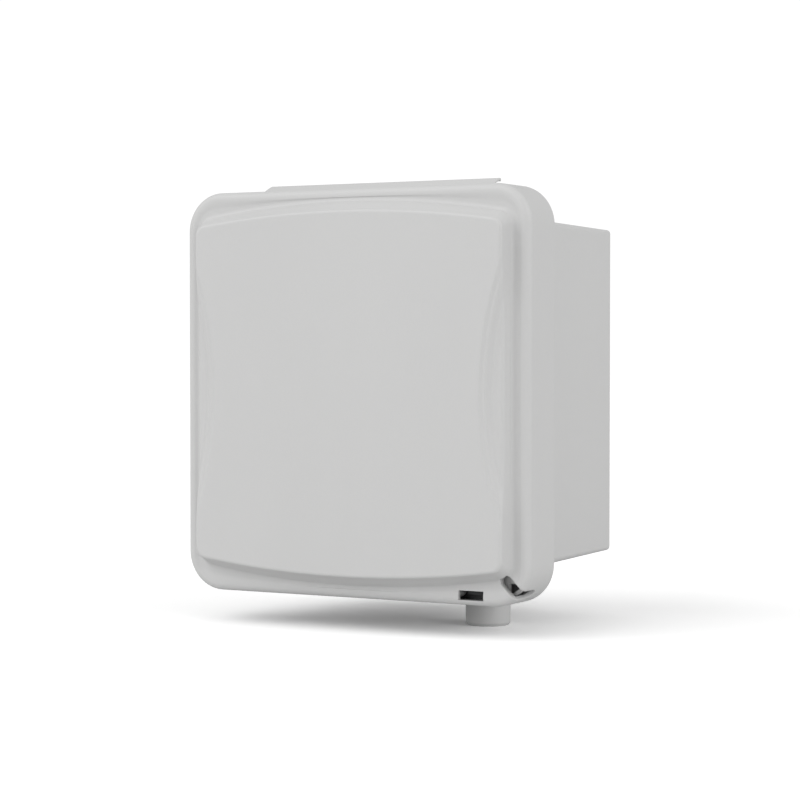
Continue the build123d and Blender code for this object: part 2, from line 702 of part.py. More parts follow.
guide_screw = machine_screw(GUIDE_SCREW, 16, 5.6, 2)
with BuildPart() as latch_guide_screws:
    with Locations(
        *[
            Location((LATCH_X + side * GUIDE_SCREW_X, -GUIDE_BACK, GUIDE_SCREW_Z), FACING_WALL)
            for side in (1, -1)
        ]
    ):
        add(guide_screw)
save(latch_guide_screws.part, "latch_guide_screws")

# ================================================================ plate and wall fixings
BRACKET_SCREW = 4
BRACKET_SCREWS = (38, 26)
SHELF_X = 58
SHELF_SCREW_X = 9
SHELF_SCREW_Z = -56
EARTH_LUG = (-45, -60)
SHELF_SCREWS = [(SHELF_X - SHELF_SCREW_X, SHELF_SCREW_Z), (SHELF_X + SHELF_SCREW_X, SHELF_SCREW_Z)]

with BuildPart() as mounting_hole_seals:
    with BuildSketch(forward(WALL_BOSS_FRONT)):
        with GridLocations(WALL_HOLE_SPACING_X, WALL_HOLE_SPACING_Z, 2, 2):
            Circle(7)
            Circle(WALL_HOLE / 2, mode=Mode.SUBTRACT)
    extrude(amount=1.5)
save(mounting_hole_seals.part, "mounting_hole_seals")

with BuildPart() as mounting_plate:
    with BuildSketch(forward(PLATE_BACK)):
        RectangleRounded(*PLATE_OUTLINE)
        with GridLocations(PLATE_SCREW_SPACING_X, PLATE_SCREW_SPACING_Z, 2, 2):
            Circle(PLATE_SCREW / 2 + FIT, mode=Mode.SUBTRACT)
        with GridLocations(*BRACKET_SCREWS, 2, 2):
            Circle(BRACKET_SCREW / 2 + FIT, mode=Mode.SUBTRACT)
        with Locations(*SHELF_SCREWS, EARTH_LUG):
            Circle(BRACKET_SCREW / 2 + FIT, mode=Mode.SUBTRACT)
        with GridLocations(130, 40, 2, 2):
            SlotOverall(*PLATE_SLOT, mode=Mode.SUBTRACT)
    extrude(amount=PLATE_THICK)
save(mounting_plate.part, "mounting_plate")

plate_screw = machine_screw(PLATE_SCREW, 8.5, 9.4, 3.4)
with BuildPart() as plate_screws:
    with Locations(
        *[
            Location(place, FACING_FRONT)
            for place in grid(PLATE_SCREW_SPACING_X, PLATE_SCREW_SPACING_Z, PLATE_FRONT)
        ]
    ):
        add(plate_screw)
save(plate_screws.part, "plate_screws")

# ================================================================ boom and its bracket
SOCKET_SIZE = 20
SOCKET_FRONT = 36
BRACKET_FOOT = 4
CLAMP_DEPTH = 27
CLAMP_BOLT = 4

with BuildPart() as boom_bracket:
    with BuildSketch(forward(PLATE_FRONT)):
        RectangleRounded(52, 40, 4)
    extrude(amount=BRACKET_FOOT)
    with BuildSketch(forward(PLATE_FRONT + BRACKET_FOOT)) as socket:
        RectangleRounded(SOCKET_SIZE, SOCKET_SIZE, 2)
    extrude(amount=SOCKET_FRONT - PLATE_FRONT - BRACKET_FOOT)
    fillet(
        boom_bracket.edges().filter_by_position(
            Axis.Y, -PLATE_FRONT - BRACKET_FOOT - 0.1, -PLATE_FRONT - BRACKET_FOOT + 0.1
        ).filter_by(lambda edge: abs(edge.center().X) < 11 and abs(edge.center().Z) < 11),
        1.5,
    )
    with BuildSketch(forward(PLATE_FRONT + BRACKET_FOOT)):
        RectangleRounded(BOOM_SIZE + 2 * FIT, BOOM_SIZE + 2 * FIT, 1)
    extrude(amount=SOCKET_FRONT - PLATE_FRONT - BRACKET_FOOT, mode=Mode.SUBTRACT)
    with BuildSketch(forward(PLATE_FRONT)):
        with GridLocations(*BRACKET_SCREWS, 2, 2):
            Circle(BRACKET_SCREW / 2 + FIT)
    extrude(amount=BRACKET_FOOT, mode=Mode.SUBTRACT)
    with BuildSketch(across(-SOCKET_SIZE / 2)):
        with Locations((-CLAMP_DEPTH, 0)):
            Circle(CLAMP_BOLT / 2 + FIT)
    extrude(amount=SOCKET_SIZE, mode=Mode.SUBTRACT)
save(boom_bracket.part, "boom_bracket")

bracket_screw = machine_screw(BRACKET_SCREW, 9, 7.4, 2.8)
with BuildPart() as bracket_screws:
    with Locations(
        *[
            Location(place, FACING_FRONT)
            for place in grid(*BRACKET_SCREWS, PLATE_FRONT + BRACKET_FOOT)
        ]
    ):
        add(bracket_screw)
save(bracket_screws.part, "bracket_screws")

BUSH_RADIUS = 4.5
ROD_DEPTHS = (REFLECTOR_DEPTH, FIRST_DIRECTOR_DEPTH, SECOND_DIRECTOR_DEPTH)
SADDLE_SCREW_OFFSET = 8
FEED_SCREW_OFFSET = 9
SMALL_SCREW = 3

with BuildPart() as boom:
    with BuildSketch(forward(BOOM_BACK)):
        RectangleRounded(BOOM_SIZE, BOOM_SIZE, 1)
        Rectangle(BOOM_SIZE - 2 * BOOM_WALL, BOOM_SIZE - 2 * BOOM_WALL, mode=Mode.SUBTRACT)
    extrude(amount=BOOM_FRONT - BOOM_BACK)
    with BuildSketch(Plane.XY.offset(-BOOM_SIZE)):
        with Locations(*[(0, -depth) for depth in ROD_DEPTHS]):
            Circle(BUSH_RADIUS)
    extrude(amount=2 * BOOM_SIZE, mode=Mode.SUBTRACT)
    with BuildSketch(across(-BOOM_SIZE)):
        with Locations((-CLAMP_DEPTH, 0)):
            Circle(CLAMP_BOLT / 2 + FIT)
    extrude(amount=2 * BOOM_SIZE, mode=Mode.SUBTRACT)
    for offset, direction in ((SADDLE_SCREW_OFFSET, -1), (FEED_SCREW_OFFSET, 1)):
        with BuildSketch(across(0)):
            with Locations((-DIPOLE_DEPTH - offset, 0), (-DIPOLE_DEPTH + offset, 0)):
                Circle(SMALL_SCREW / 2 + FIT)
        extrude(amount=direction * BOOM_SIZE, mode=Mode.SUBTRACT)
save(boom.part, "boom")

with BuildPart() as boom_end_cap:
    with BuildSketch(forward(BOOM_FRONT)):
        RectangleRounded(BOOM_SIZE, BOOM_SIZE, 1)
    extrude(amount=2)
    with BuildSketch(forward(BOOM_FRONT)):
        Rectangle(BOOM_SIZE - 2 * BOOM_WALL - 2 * FIT, BOOM_SIZE - 2 * BOOM_WALL - 2 * FIT)
    extrude(amount=-3)
save(boom_end_cap.part, "boom_end_cap")

with BuildPart() as clamp_bolt:
    with BuildSketch(across(SOCKET_SIZE / 2)):
        with Locations((-CLAMP_DEPTH, 0)):
            RegularPolygon(3.5, 6, major_radius=False)
    extrude(amount=2.8)
    with BuildSketch(across(SOCKET_SIZE / 2)):
        with Locations((-CLAMP_DEPTH, 0)):
            Circle(CLAMP_BOLT / 2)
    extrude(amount=-SOCKET_SIZE - 5)
save(clamp_bolt.part, "clamp_bolt")

clamp_hex = hex_nut(CLAMP_BOLT + FIT_ACROSS, 7, 3.2)
with BuildPart() as clamp_nut:
    with Locations(Location((-SOCKET_SIZE / 2, -CLAMP_DEPTH, 0), FACING_LEFT)):
        add(clamp_hex)
save(clamp_nut.part, "clamp_nut")

# ================================================================ elements
ELEMENTS = [
    ("reflector", REFLECTOR_LENGTH, REFLECTOR_DEPTH),
    ("first_director", FIRST_DIRECTOR_LENGTH, FIRST_DIRECTOR_DEPTH),
    ("second_director", SECOND_DIRECTOR_LENGTH, SECOND_DIRECTOR_DEPTH),
]
for name, length, depth in ELEMENTS:
    with BuildPart() as rod:
        with BuildSketch(Plane.XY.offset(-length / 2)):
            with Locations((0, -depth)):
                Circle(ROD / 2)
        extrude(amount=length)
        chamfer(rod.edges().filter_by(GeomType.CIRCLE), 0.6)
    save(rod.part, name)

with BuildPart() as bush:
    Cylinder(BUSH_RADIUS + 2, 2.5, align=(Align.CENTER, Align.CENTER, Align.MIN))
    fillet(bush.edges().group_by(Axis.Z)[-1], 0.8)
    Cylinder(BUSH_RADIUS - FIT, BOOM_WALL + 1.5, align=(Align.CENTER, Align.CENTER, Align.MAX))
    Cylinder(ROD / 2 + FIT / 2, 20, mode=Mode.SUBTRACT)

with BuildPart() as element_bushes:
    for depth in ROD_DEPTHS:
        with Locations(
            Location((0, -depth, BOOM_SIZE / 2)),
            Location((0, -depth, -BOOM_SIZE / 2), FACING_DOWN),
        ):
            add(bush.part)
save(element_bushes.part, "element_bushes")

BEND_HEIGHT = DIPOLE_LENGTH / 2 - DIPOLE_HALF_SPACING
with BuildPart() as driven_element:
    with BuildLine(forward(DIPOLE_DEPTH)) as loop_path:
        Line((DIPOLE_HALF_SPACING, FEED_GAP / 2), (DIPOLE_HALF_SPACING, BEND_HEIGHT))
        ThreePointArc(
            (DIPOLE_HALF_SPACING, BEND_HEIGHT),
            (0, DIPOLE_LENGTH / 2),
            (-DIPOLE_HALF_SPACING, BEND_HEIGHT),
        )
        Line((-DIPOLE_HALF_SPACING, BEND_HEIGHT), (-DIPOLE_HALF_SPACING, -BEND_HEIGHT))
        ThreePointArc(
            (-DIPOLE_HALF_SPACING, -BEND_HEIGHT),
            (0, -DIPOLE_LENGTH / 2),
            (DIPOLE_HALF_SPACING, -BEND_HEIGHT),
        )
        Line((DIPOLE_HALF_SPACING, -BEND_HEIGHT), (DIPOLE_HALF_SPACING, -FEED_GAP / 2))
    with BuildSketch(Plane.XY.offset(FEED_GAP / 2)):
        with Locations((DIPOLE_HALF_SPACING, -DIPOLE_DEPTH)):
            Circle(DIPOLE_ROD / 2)
    sweep(path=loop_path.wire())
save(driven_element.part, "driven_element")

SADDLE_OUTSIDE = -17.5
BOOM_SIDE = BOOM_SIZE / 2 + FIT
with BuildPart() as dipole_saddle:
    with Locations((-BOOM_SIDE, -DIPOLE_DEPTH, 0)):
        Box(
            -BOOM_SIDE - SADDLE_OUTSIDE, 24, 18, align=(Align.MAX, Align.CENTER, Align.CENTER)
        )
    fillet(dipole_saddle.edges().filter_by(Axis.Z).group_by(Axis.X)[0], 3)
    with BuildSketch(Plane.XY.offset(-10)):
        with Locations((-DIPOLE_HALF_SPACING, -DIPOLE_DEPTH)):
            Circle(DIPOLE_ROD / 2 + FIT)
    extrude(amount=20, mode=Mode.SUBTRACT)
    with BuildSketch(across(SADDLE_OUTSIDE)):
        with Locations(
            (-DIPOLE_DEPTH - SADDLE_SCREW_OFFSET, 0), (-DIPOLE_DEPTH + SADDLE_SCREW_OFFSET, 0)
        ):
            Circle(SMALL_SCREW / 2 + FIT)
    extrude(amount=12, mode=Mode.SUBTRACT)
save(dipole_saddle.part, "dipole_saddle")

saddle_screw = machine_screw(SMALL_SCREW, 13, 5.6, 2)
with BuildPart() as saddle_screws:
    with Locations(
        *[
            Location((SADDLE_OUTSIDE, -DIPOLE_DEPTH + side * SADDLE_SCREW_OFFSET, 0), FACING_LEFT)
            for side in (1, -1)
        ]
    ):
        add(saddle_screw)
save(saddle_screws.part, "saddle_screws")

# ================================================================ feed box
FEED_BOX_FRONT = 31
FEED_WALL = 2
FEED_DEPTH = 30
FEED_HEIGHT = 40
FEED_LID_SCREWS = (24, 34)
LID_THICK = 2.5
BOARD_X = 20
BOARD_THICK = 1.6
BOARD_SIZE = (22, 24)
CABLE = 5
CABLE_X = 25.5
GLAND_LENGTH = 7
GLAND_RADIUS = 4
FEED_PIN = 0.8
FEED_PIN_HEIGHT = FEED_GAP / 2 + 2
LID_SCREW = 2.5


def feed_grid(spacing_y, spacing_z):
    """Four places about the feed box's middle, on a plane facing +X."""
    return [
        (-DIPOLE_DEPTH + sy * spacing_y / 2, sz * spacing_z / 2)
        for sy, sz in ((1, 1), (-1, 1), (-1, -1), (1, -1))
    ]


with BuildPart() as feed_box:
    with BuildSketch(across(BOOM_SIDE)):
        with Locations((-DIPOLE_DEPTH, 0)):
            RectangleRounded(FEED_DEPTH, FEED_HEIGHT, 3)
    extrude(amount=FEED_BOX_FRONT - BOOM_SIDE)
    with BuildSketch(across(BOOM_SIDE + FEED_WALL)):
        with Locations((-DIPOLE_DEPTH, 0)):
            RectangleRounded(FEED_DEPTH - 2 * FEED_WALL, FEED_HEIGHT - 2 * FEED_WALL, 1)
    extrude(amount=30, mode=Mode.SUBTRACT)
    with BuildSketch(across(BOOM_SIDE + FEED_WALL)):
        with Locations(*feed_grid(*FEED_LID_SCREWS)):
            Circle(3)
    extrude(amount=FEED_BOX_FRONT - BOOM_SIDE - FEED_WALL)
    with BuildSketch(across(BOOM_SIDE + FEED_WALL)):
        with Locations(*feed_grid(14, 20)[1::2]):
            Circle(2.5)
    extrude(amount=BOARD_X - BOOM_SIDE - FEED_WALL)
    with BuildSketch(across(FEED_BOX_FRONT)):
        with Locations(*feed_grid(*FEED_LID_SCREWS)):
            Circle(LID_SCREW / 2 + FIT)
    extrude(amount=-10, mode=Mode.SUBTRACT)
    with BuildSketch(across(BOOM_SIDE)):
        with Locations(
            (-DIPOLE_DEPTH - FEED_SCREW_OFFSET, 0), (-DIPOLE_DEPTH + FEED_SCREW_OFFSET, 0)
        ):
            Circle(SMALL_SCREW / 2 + FIT)
    extrude(amount=FEED_WALL, mode=Mode.SUBTRACT)
    with BuildSketch(Plane.XY.offset(-30)):
        with Locations((DIPOLE_HALF_SPACING, -DIPOLE_DEPTH)):
            Circle(DIPOLE_ROD / 2 + FIT)
    extrude(amount=60, mode=Mode.SUBTRACT)
    with BuildSketch(Plane.XY.offset(-FEED_HEIGHT / 2)):
        with Locations((CABLE_X, -DIPOLE_DEPTH)):
            Circle(GLAND_RADIUS)
    extrude(amount=FEED_WALL, mode=Mode.SUBTRACT)
save(feed_box.part, "feed_box")

with BuildPart() as feed_box_lid:
    with BuildSketch(across(FEED_BOX_FRONT)):
        with Locations((-DIPOLE_DEPTH, 0)):
            RectangleRounded(FEED_DEPTH, FEED_HEIGHT, 3)
        with Locations(*feed_grid(*FEED_LID_SCREWS)):
            Circle(LID_SCREW / 2 + FIT, mode=Mode.SUBTRACT)
    extrude(amount=LID_THICK)
    fillet(feed_box_lid.faces().sort_by(Axis.X)[-1].outer_wire().edges(), 0.8)
save(feed_box_lid.part, "feed_box_lid")

lid_screw = machine_screw(LID_SCREW, 10, 4.7, 1.7)
with BuildPart() as feed_lid_screws:
    with Locations(
        *[
            Location((FEED_BOX_FRONT + LID_THICK, y, z), FACING_RIGHT)
            for y, z in feed_grid(*FEED_LID_SCREWS)
        ]
    ):
        add(lid_screw)
save(feed_lid_screws.part, "feed_lid_screws")

feed_screw = machine_screw(SMALL_SCREW, 4, 5.6, 2)
with BuildPart() as feed_box_screws:
    with Locations(
        *[
            Location(
                (BOOM_SIDE + FEED_WALL, -DIPOLE_DEPTH + side * FEED_SCREW_OFFSET, 0), FACING_RIGHT
            )
            for side in (1, -1)
        ]
    ):
        add(feed_screw)
save(feed_box_screws.part, "feed_box_screws")

with BuildPart() as balun_board:
    with BuildSketch(across(BOARD_X)):
        with Locations((-DIPOLE_DEPTH, 0)):
            RectangleRounded(*BOARD_SIZE, 1)
            with Locations((0, FEED_PIN_HEIGHT), (0, -FEED_PIN_HEIGHT)):
                Circle(FEED_PIN + FIT, mode=Mode.SUBTRACT)
    extrude(amount=BOARD_THICK)
save(balun_board.part, "balun_board")

with BuildPart() as balun_core:
    with Locations((BOARD_X + BOARD_THICK, -DIPOLE_DEPTH, 0)):
        Box(4.5, 10, 7, align=(Align.MIN, Align.CENTER, Align.CENTER))
    fillet(balun_core.edges().filter_by(Axis.Z).group_by(Axis.X)[-1], 1.5)
    with BuildSketch(Plane.XY.offset(-5)):
        with Locations(
            (BOARD_X + BOARD_THICK + 2.25, -DIPOLE_DEPTH - 2.4),
            (BOARD_X + BOARD_THICK + 2.25, -DIPOLE_DEPTH + 2.4),
        ):
            Circle(1)
    extrude(amount=10, mode=Mode.SUBTRACT)
save(balun_core.part, "balun_core")

with BuildPart() as feed_pins:
    with BuildSketch(across(DIPOLE_HALF_SPACING + DIPOLE_ROD / 2 + FIT)):
        with Locations((-DIPOLE_DEPTH, FEED_PIN_HEIGHT), (-DIPOLE_DEPTH, -FEED_PIN_HEIGHT)):
            Circle(FEED_PIN)
    extrude(
        amount=BOARD_X + BOARD_THICK + FEED_PIN - DIPOLE_HALF_SPACING - DIPOLE_ROD / 2 - FIT
    )
save(feed_pins.part, "feed_pins")

with BuildPart() as feed_gland:
    with BuildSketch(Plane.XY.offset(-FEED_HEIGHT / 2)):
        with Locations((CABLE_X, -DIPOLE_DEPTH)):
            RegularPolygon(5, 6, major_radius=False)
    extrude(amount=-GLAND_LENGTH / 2)
    with BuildSketch(Plane.XY.offset(-FEED_HEIGHT / 2)):
        with Locations((CABLE_X, -DIPOLE_DEPTH)):
            Circle(4.4)
    extrude(amount=-GLAND_LENGTH)
    with BuildSketch(Plane.XY.offset(-FEED_HEIGHT / 2)):
        with Locations((CABLE_X, -DIPOLE_DEPTH)):
            Circle(GLAND_RADIUS - FIT)
    extrude(amount=FEED_WALL)
    with BuildSketch(Plane.XY.offset(-FEED_HEIGHT / 2 - GLAND_LENGTH)):
        with Locations((CABLE_X, -DIPOLE_DEPTH)):
            Circle(CABLE / 2 + FIT)
    extrude(amount=GLAND_LENGTH + FEED_WALL, mode=Mode.SUBTRACT)
save(feed_gland.part, "feed_gland")

# ================================================================ jack on its shelf
SHELF_TOP = -70
SHELF_THICK = 2
SHELF_FRONT = 62
SHELF_WIDTH = 30
SHELF_RISE = -42
JACK_DEPTH = 45
JACK_THREAD = 15.88
JACK_SOCKET = 4.4
JACK_BORE = 3.6
JACK_PIN = 1.5
JACK_PIN_SOCKET = 0.83
JACK_HEX = 19
JACK_HEX_HEIGHT = 4
JACK_NECK_TOP = 12
JACK_NECK = 6
JACK_END = -90
JACK_RELIEF = -76.6
RELIEF_WIDTH = 0.7
CABLE_END = -62

with BuildPart() as connector_bracket:
    with BuildSketch(across(SHELF_X - SHELF_WIDTH / 2)):
        with BuildLine():
            Polyline(
                (-PLATE_FRONT, SHELF_RISE),
                (-PLATE_FRONT, SHELF_TOP - SHELF_THICK),
                (-SHELF_FRONT, SHELF_TOP - SHELF_THICK),
                (-SHELF_FRONT, SHELF_TOP),
                (-PLATE_FRONT - SHELF_THICK, SHELF_TOP),
                (-PLATE_FRONT - SHELF_THICK, SHELF_RISE),
                close=True,
            )
        make_face()
    extrude(amount=SHELF_WIDTH)
    fillet(connector_bracket.edges().filter_by(Axis.X).sort_by_distance(
        (SHELF_X, -PLATE_FRONT - SHELF_THICK, SHELF_TOP))[0], 1.5)
    fillet(connector_bracket.edges().filter_by(Axis.X).sort_by_distance(
        (SHELF_X, -PLATE_FRONT, SHELF_TOP - SHELF_THICK))[0], 3.5)
    with BuildSketch(forward(PLATE_FRONT)):
        with Locations(*SHELF_SCREWS):
            Circle(BRACKET_SCREW / 2 + FIT)
    extrude(amount=SHELF_THICK, mode=Mode.SUBTRACT)
    with BuildSketch(Plane.XY.offset(SHELF_TOP)):
        with Locations((SHELF_X, -JACK_DEPTH)):
            Circle(JACK_THREAD / 2 + 0.15)
    extrude(amount=-SHELF_THICK, mode=Mode.SUBTRACT)
save(connector_bracket.part, "connector_bracket")

shelf_screw = machine_screw(BRACKET_SCREW, 6, 7.4, 2.8)
with BuildPart() as connector_bracket_screws:
    with Locations(
        *[
            Location((x, -PLATE_FRONT - SHELF_THICK, z), FACING_FRONT)
            for x, z in SHELF_SCREWS
        ]
    ):
        add(shelf_screw)
save(connector_bracket_screws.part, "connector_bracket_screws")


def jack_plane(height):
    """Horizontal sketch plane centred on the jack."""
    return Plane((SHELF_X, -JACK_DEPTH, height))


with BuildPart() as jack_body:
    with BuildSketch(jack_plane(SHELF_TOP)):
        RegularPolygon(JACK_HEX / 2, 6, major_radius=False)
    extrude(amount=JACK_HEX_HEIGHT)
    with BuildSketch(jack_plane(SHELF_TOP + JACK_HEX_HEIGHT)):
        Circle(JACK_NECK)
    extrude(amount=JACK_NECK_TOP - JACK_HEX_HEIGHT)
    with BuildSketch(jack_plane(SHELF_TOP)):
        Circle(JACK_THREAD / 2)
    extrude(amount=JACK_END - SHELF_TOP)
    chamfer(jack_body.edges().group_by(Axis.Z)[0], 0.5)
    # relief between the nut's thread and the plug's
    with BuildSketch(jack_plane(JACK_RELIEF)):
        Circle(JACK_THREAD / 2 + 1)
        Circle(JACK_THREAD / 2 - 0.6, mode=Mode.SUBTRACT)
    extrude(amount=-RELIEF_WIDTH, mode=Mode.SUBTRACT)
    with BuildSketch(jack_plane(JACK_END)):
        Circle(JACK_SOCKET)
    extrude(amount=9, mode=Mode.SUBTRACT)
    with BuildSketch(jack_plane(JACK_END)):
        Circle(JACK_BORE)
    extrude(amount=26, mode=Mode.SUBTRACT)
    with BuildSketch(jack_plane(SHELF_TOP + JACK_NECK_TOP)):
        Circle(CABLE / 2 + FIT)
    extrude(amount=-6, mode=Mode.SUBTRACT)
save(jack_body.part, "jack_body")

with BuildPart() as jack_insulator:
    with BuildSketch(jack_plane(JACK_END + 3)):
        Circle(JACK_BORE - FIT)
        Circle(JACK_PIN + FIT, mode=Mode.SUBTRACT)
    extrude(amount=22)
save(jack_insulator.part, "jack_insulator")

with BuildPart() as jack_centre_pin:
    with BuildSketch(jack_plane(JACK_END + 2)):
        Circle(JACK_PIN)
    extrude(amount=24)
    with BuildSketch(jack_plane(JACK_END + 2)):
        Circle(JACK_PIN_SOCKET)
        Rectangle(3.4, 0.3)
    extrude(amount=5, mode=Mode.SUBTRACT)
save(jack_centre_pin.part, "jack_centre_pin")

jack_washer = washer(JACK_THREAD + FIT_ACROSS, 21, 1.2)
with BuildPart() as jack_lock_washer:
    with Locations((SHELF_X, -JACK_DEPTH, SHELF_TOP - SHELF_THICK - 1.2)):
        add(jack_washer)
save(jack_lock_washer.part, "jack_lock_washer")

jack_hex = hex_nut(JACK_THREAD + FIT_ACROSS, JACK_HEX, 3)
with BuildPart() as jack_nut:
    with Locations(
        Location((SHELF_X, -JACK_DEPTH, SHELF_TOP - SHELF_THICK - 1.2), FACING_DOWN)
    ):
        add(jack_hex)
save(jack_nut.part, "jack_nut")

with BuildPart() as coax_ferrule:
    with BuildSketch(jack_plane(SHELF_TOP + JACK_NECK_TOP)):
        Circle(4)
        Circle(CABLE / 2 + FIT, mode=Mode.SUBTRACT)
    extrude(amount=9)
save(coax_ferrule.part, "coax_ferrule")

with BuildPart() as coax_pigtail:
    with BuildLine() as cable_path:
        down = Line((CABLE_X, -DIPOLE_DEPTH, -13), (CABLE_X, -DIPOLE_DEPTH, -30))
        Bezier(
            down @ 1,
            (CABLE_X, -DIPOLE_DEPTH, -54),
            (SHELF_X, -JACK_DEPTH, -16),
            (SHELF_X, -JACK_DEPTH, -44),
        )
        Line((SHELF_X, -JACK_DEPTH, -44), (SHELF_X, -JACK_DEPTH, CABLE_END))
    with BuildSketch(Plane(origin=cable_path.wire() @ 0, z_dir=cable_path.wire() % 0)):
        Circle(CABLE / 2)
    sweep(path=cable_path.wire())
save(coax_pigtail.part, "coax_pigtail")

# ================================================================ conduit hub
HUB_SEAL = 1.5
HUB_FLANGE = 3
with BuildPart() as conduit_hub:
    with BuildSketch(Plane.XZ.offset(HUB_DEPTH)):
        with BuildLine():
            Polyline(
                (HUB_X + HUB_BORE / 2, HUB_TOP),
                (HUB_X + HUB_THREAD / 2, HUB_TOP),
                (HUB_X + HUB_THREAD / 2, PAD_BOTTOM - HUB_SEAL),
                (HUB_X + HUB_FLANGE_RADIUS, PAD_BOTTOM - HUB_SEAL),
                (HUB_X + HUB_FLANGE_RADIUS, PAD_BOTTOM - HUB_SEAL - HUB_FLANGE),
                (HUB_X + HUB_DIAMETER / 2 + 0.3, PAD_BOTTOM - HUB_SEAL - HUB_FLANGE),
                (HUB_X + HUB_DIAMETER / 2, HUB_END + 2),
                (HUB_X + HUB_DIAMETER / 2 - 1.2, HUB_END),
                (HUB_X + HUB_SOCKET / 2, HUB_END),
                (HUB_X + HUB_SOCKET / 2, HUB_END + HUB_SOCKET_DEPTH),
                (HUB_X + HUB_BORE / 2, HUB_END + HUB_SOCKET_DEPTH),
                close=True,
            )
        make_face()
    revolve(axis=Axis((HUB_X, -HUB_DEPTH, 0), (0, 0, 1)))
save(conduit_hub.part, "conduit_hub")

hub_washer = washer(HUB_THREAD + FIT_ACROSS, 2 * HUB_FLANGE_RADIUS, HUB_SEAL)
with BuildPart() as hub_gasket:
    with Locations((HUB_X, -HUB_DEPTH, PAD_BOTTOM - HUB_SEAL)):
        add(hub_washer)
save(hub_gasket.part, "hub_gasket")

hub_hex = hex_nut(HUB_THREAD + FIT_ACROSS, 30, 6)
with BuildPart() as hub_locknut:
    with Locations((HUB_X, -HUB_DEPTH, PAD_TOP)):
        add(hub_hex)
save(hub_locknut.part, "hub_locknut")

# ================================================================ drain vent
with BuildPart() as breather_vent:
    with BuildSketch(Plane((VENT_X, -HUB_DEPTH, PAD_BOTTOM - VENT_SEAL))):
        Circle(VENT_CAP)
    extrude(amount=-VENT_CAP_HEIGHT)
    fillet(breather_vent.edges().group_by(Axis.Z)[0], 1.5)
    with BuildSketch(Plane((VENT_X, -HUB_DEPTH, PAD_BOTTOM - VENT_SEAL))):
        Circle(VENT_THREAD / 2)
    extrude(amount=PAD_TOP - PAD_BOTTOM + 8)
    with BuildSketch(Plane((VENT_X, -HUB_DEPTH, PAD_BOTTOM - VENT_SEAL - VENT_CAP_HEIGHT))):
        Circle(VENT_BORE / 2)
    extrude(amount=30, mode=Mode.SUBTRACT)
save(breather_vent.part, "breather_vent")

vent_washer = washer(VENT_THREAD + FIT_ACROSS, 17, VENT_SEAL)
with BuildPart() as breather_seal:
    with Locations((VENT_X, -HUB_DEPTH, PAD_BOTTOM - VENT_SEAL)):
        add(vent_washer)
save(breather_seal.part, "breather_seal")

vent_hex = hex_nut(VENT_THREAD + FIT_ACROSS, 17, 5)
with BuildPart() as breather_nut:
    with Locations((VENT_X, -HUB_DEPTH, PAD_TOP)):
        add(vent_hex)
save(breather_nut.part, "breather_nut")

# ================================================================ earth stud
EARTH_WASHER = 1.5
EARTH_LUG_THICK = 1
with BuildPart() as earth_stud:
    with BuildSketch(Plane((EARTH_X, -EARTH_DEPTH, EARTH_END))):
        Circle(EARTH_THREAD / 2)
    extrude(amount=EARTH_STUD_LENGTH)
    chamfer(earth_stud.edges().filter_by(GeomType.CIRCLE), 0.6)
    # relief below the outer nut
    with BuildSketch(Plane((EARTH_X, -EARTH_DEPTH, EARTH_RELIEF))):
        Circle(EARTH_THREAD / 2 + 1)
        Circle(EARTH_THREAD / 2 - 0.5, mode=Mode.SUBTRACT)
    extrude(amount=-RELIEF_WIDTH, mode=Mode.SUBTRACT)
save(earth_stud.part, "earth_stud")

earth_ring = washer(EARTH_THREAD + FIT_ACROSS, 12, EARTH_WASHER)
with BuildPart() as earth_washers:
    with Locations(
        (EARTH_X, -EARTH_DEPTH, PAD_TOP),
        (EARTH_X, -EARTH_DEPTH, PAD_BOTTOM - EARTH_WASHER),
    ):
        add(earth_ring)
save(earth_washers.part, "earth_washers")

earth_hex = hex_nut(EARTH_THREAD + FIT_ACROSS, 10, EARTH_NUT_HEIGHT)
with BuildPart() as earth_nuts:
    with Locations(
        (EARTH_X, -EARTH_DEPTH, PAD_TOP + EARTH_WASHER + EARTH_LUG_THICK),
        (EARTH_X, -EARTH_DEPTH, PAD_BOTTOM - EARTH_WASHER - EARTH_NUT_HEIGHT),
        (EARTH_X, -EARTH_DEPTH, PAD_BOTTOM - EARTH_WASHER - 12),
    ):
        add(earth_hex)
save(earth_nuts.part, "earth_nuts")

with BuildPart() as earth_wire:
    with BuildSketch(Plane((EARTH_X, -EARTH_DEPTH, PAD_TOP + EARTH_WASHER))):
        Circle(5)
        with Locations((0, 6)):
            Rectangle(4, 8)
        Circle(EARTH_THREAD / 2 + FIT, mode=Mode.SUBTRACT)
    extrude(amount=EARTH_LUG_THICK)
    with BuildSketch(forward(PLATE_FRONT)):
        with Locations(EARTH_LUG):
            Circle(4.5)
            with Locations((0, -6)):
                Rectangle(4, 8)
            Circle(BRACKET_SCREW / 2 + FIT, mode=Mode.SUBTRACT)
    extrude(amount=EARTH_LUG_THICK)
    with BuildLine() as wire_path:
        Bezier(
            (EARTH_X, -EARTH_DEPTH + 7, PAD_TOP + EARTH_WASHER + 0.8),
            (EARTH_X, -EARTH_DEPTH + 32, PAD_TOP + EARTH_WASHER + 0.8),
            (EARTH_LUG[0], -PLATE_FRONT - 1.5, EARTH_LUG[1] - 34),
            (EARTH_LUG[0], -PLATE_FRONT - 1.5, EARTH_LUG[1] - 7),
        )
    with BuildSketch(Plane(origin=wire_path.wire() @ 0, z_dir=wire_path.wire() % 0)):
        Circle(EARTH_WIRE)
    sweep(path=wire_path.wire())
save(earth_wire.part, "earth_wire")

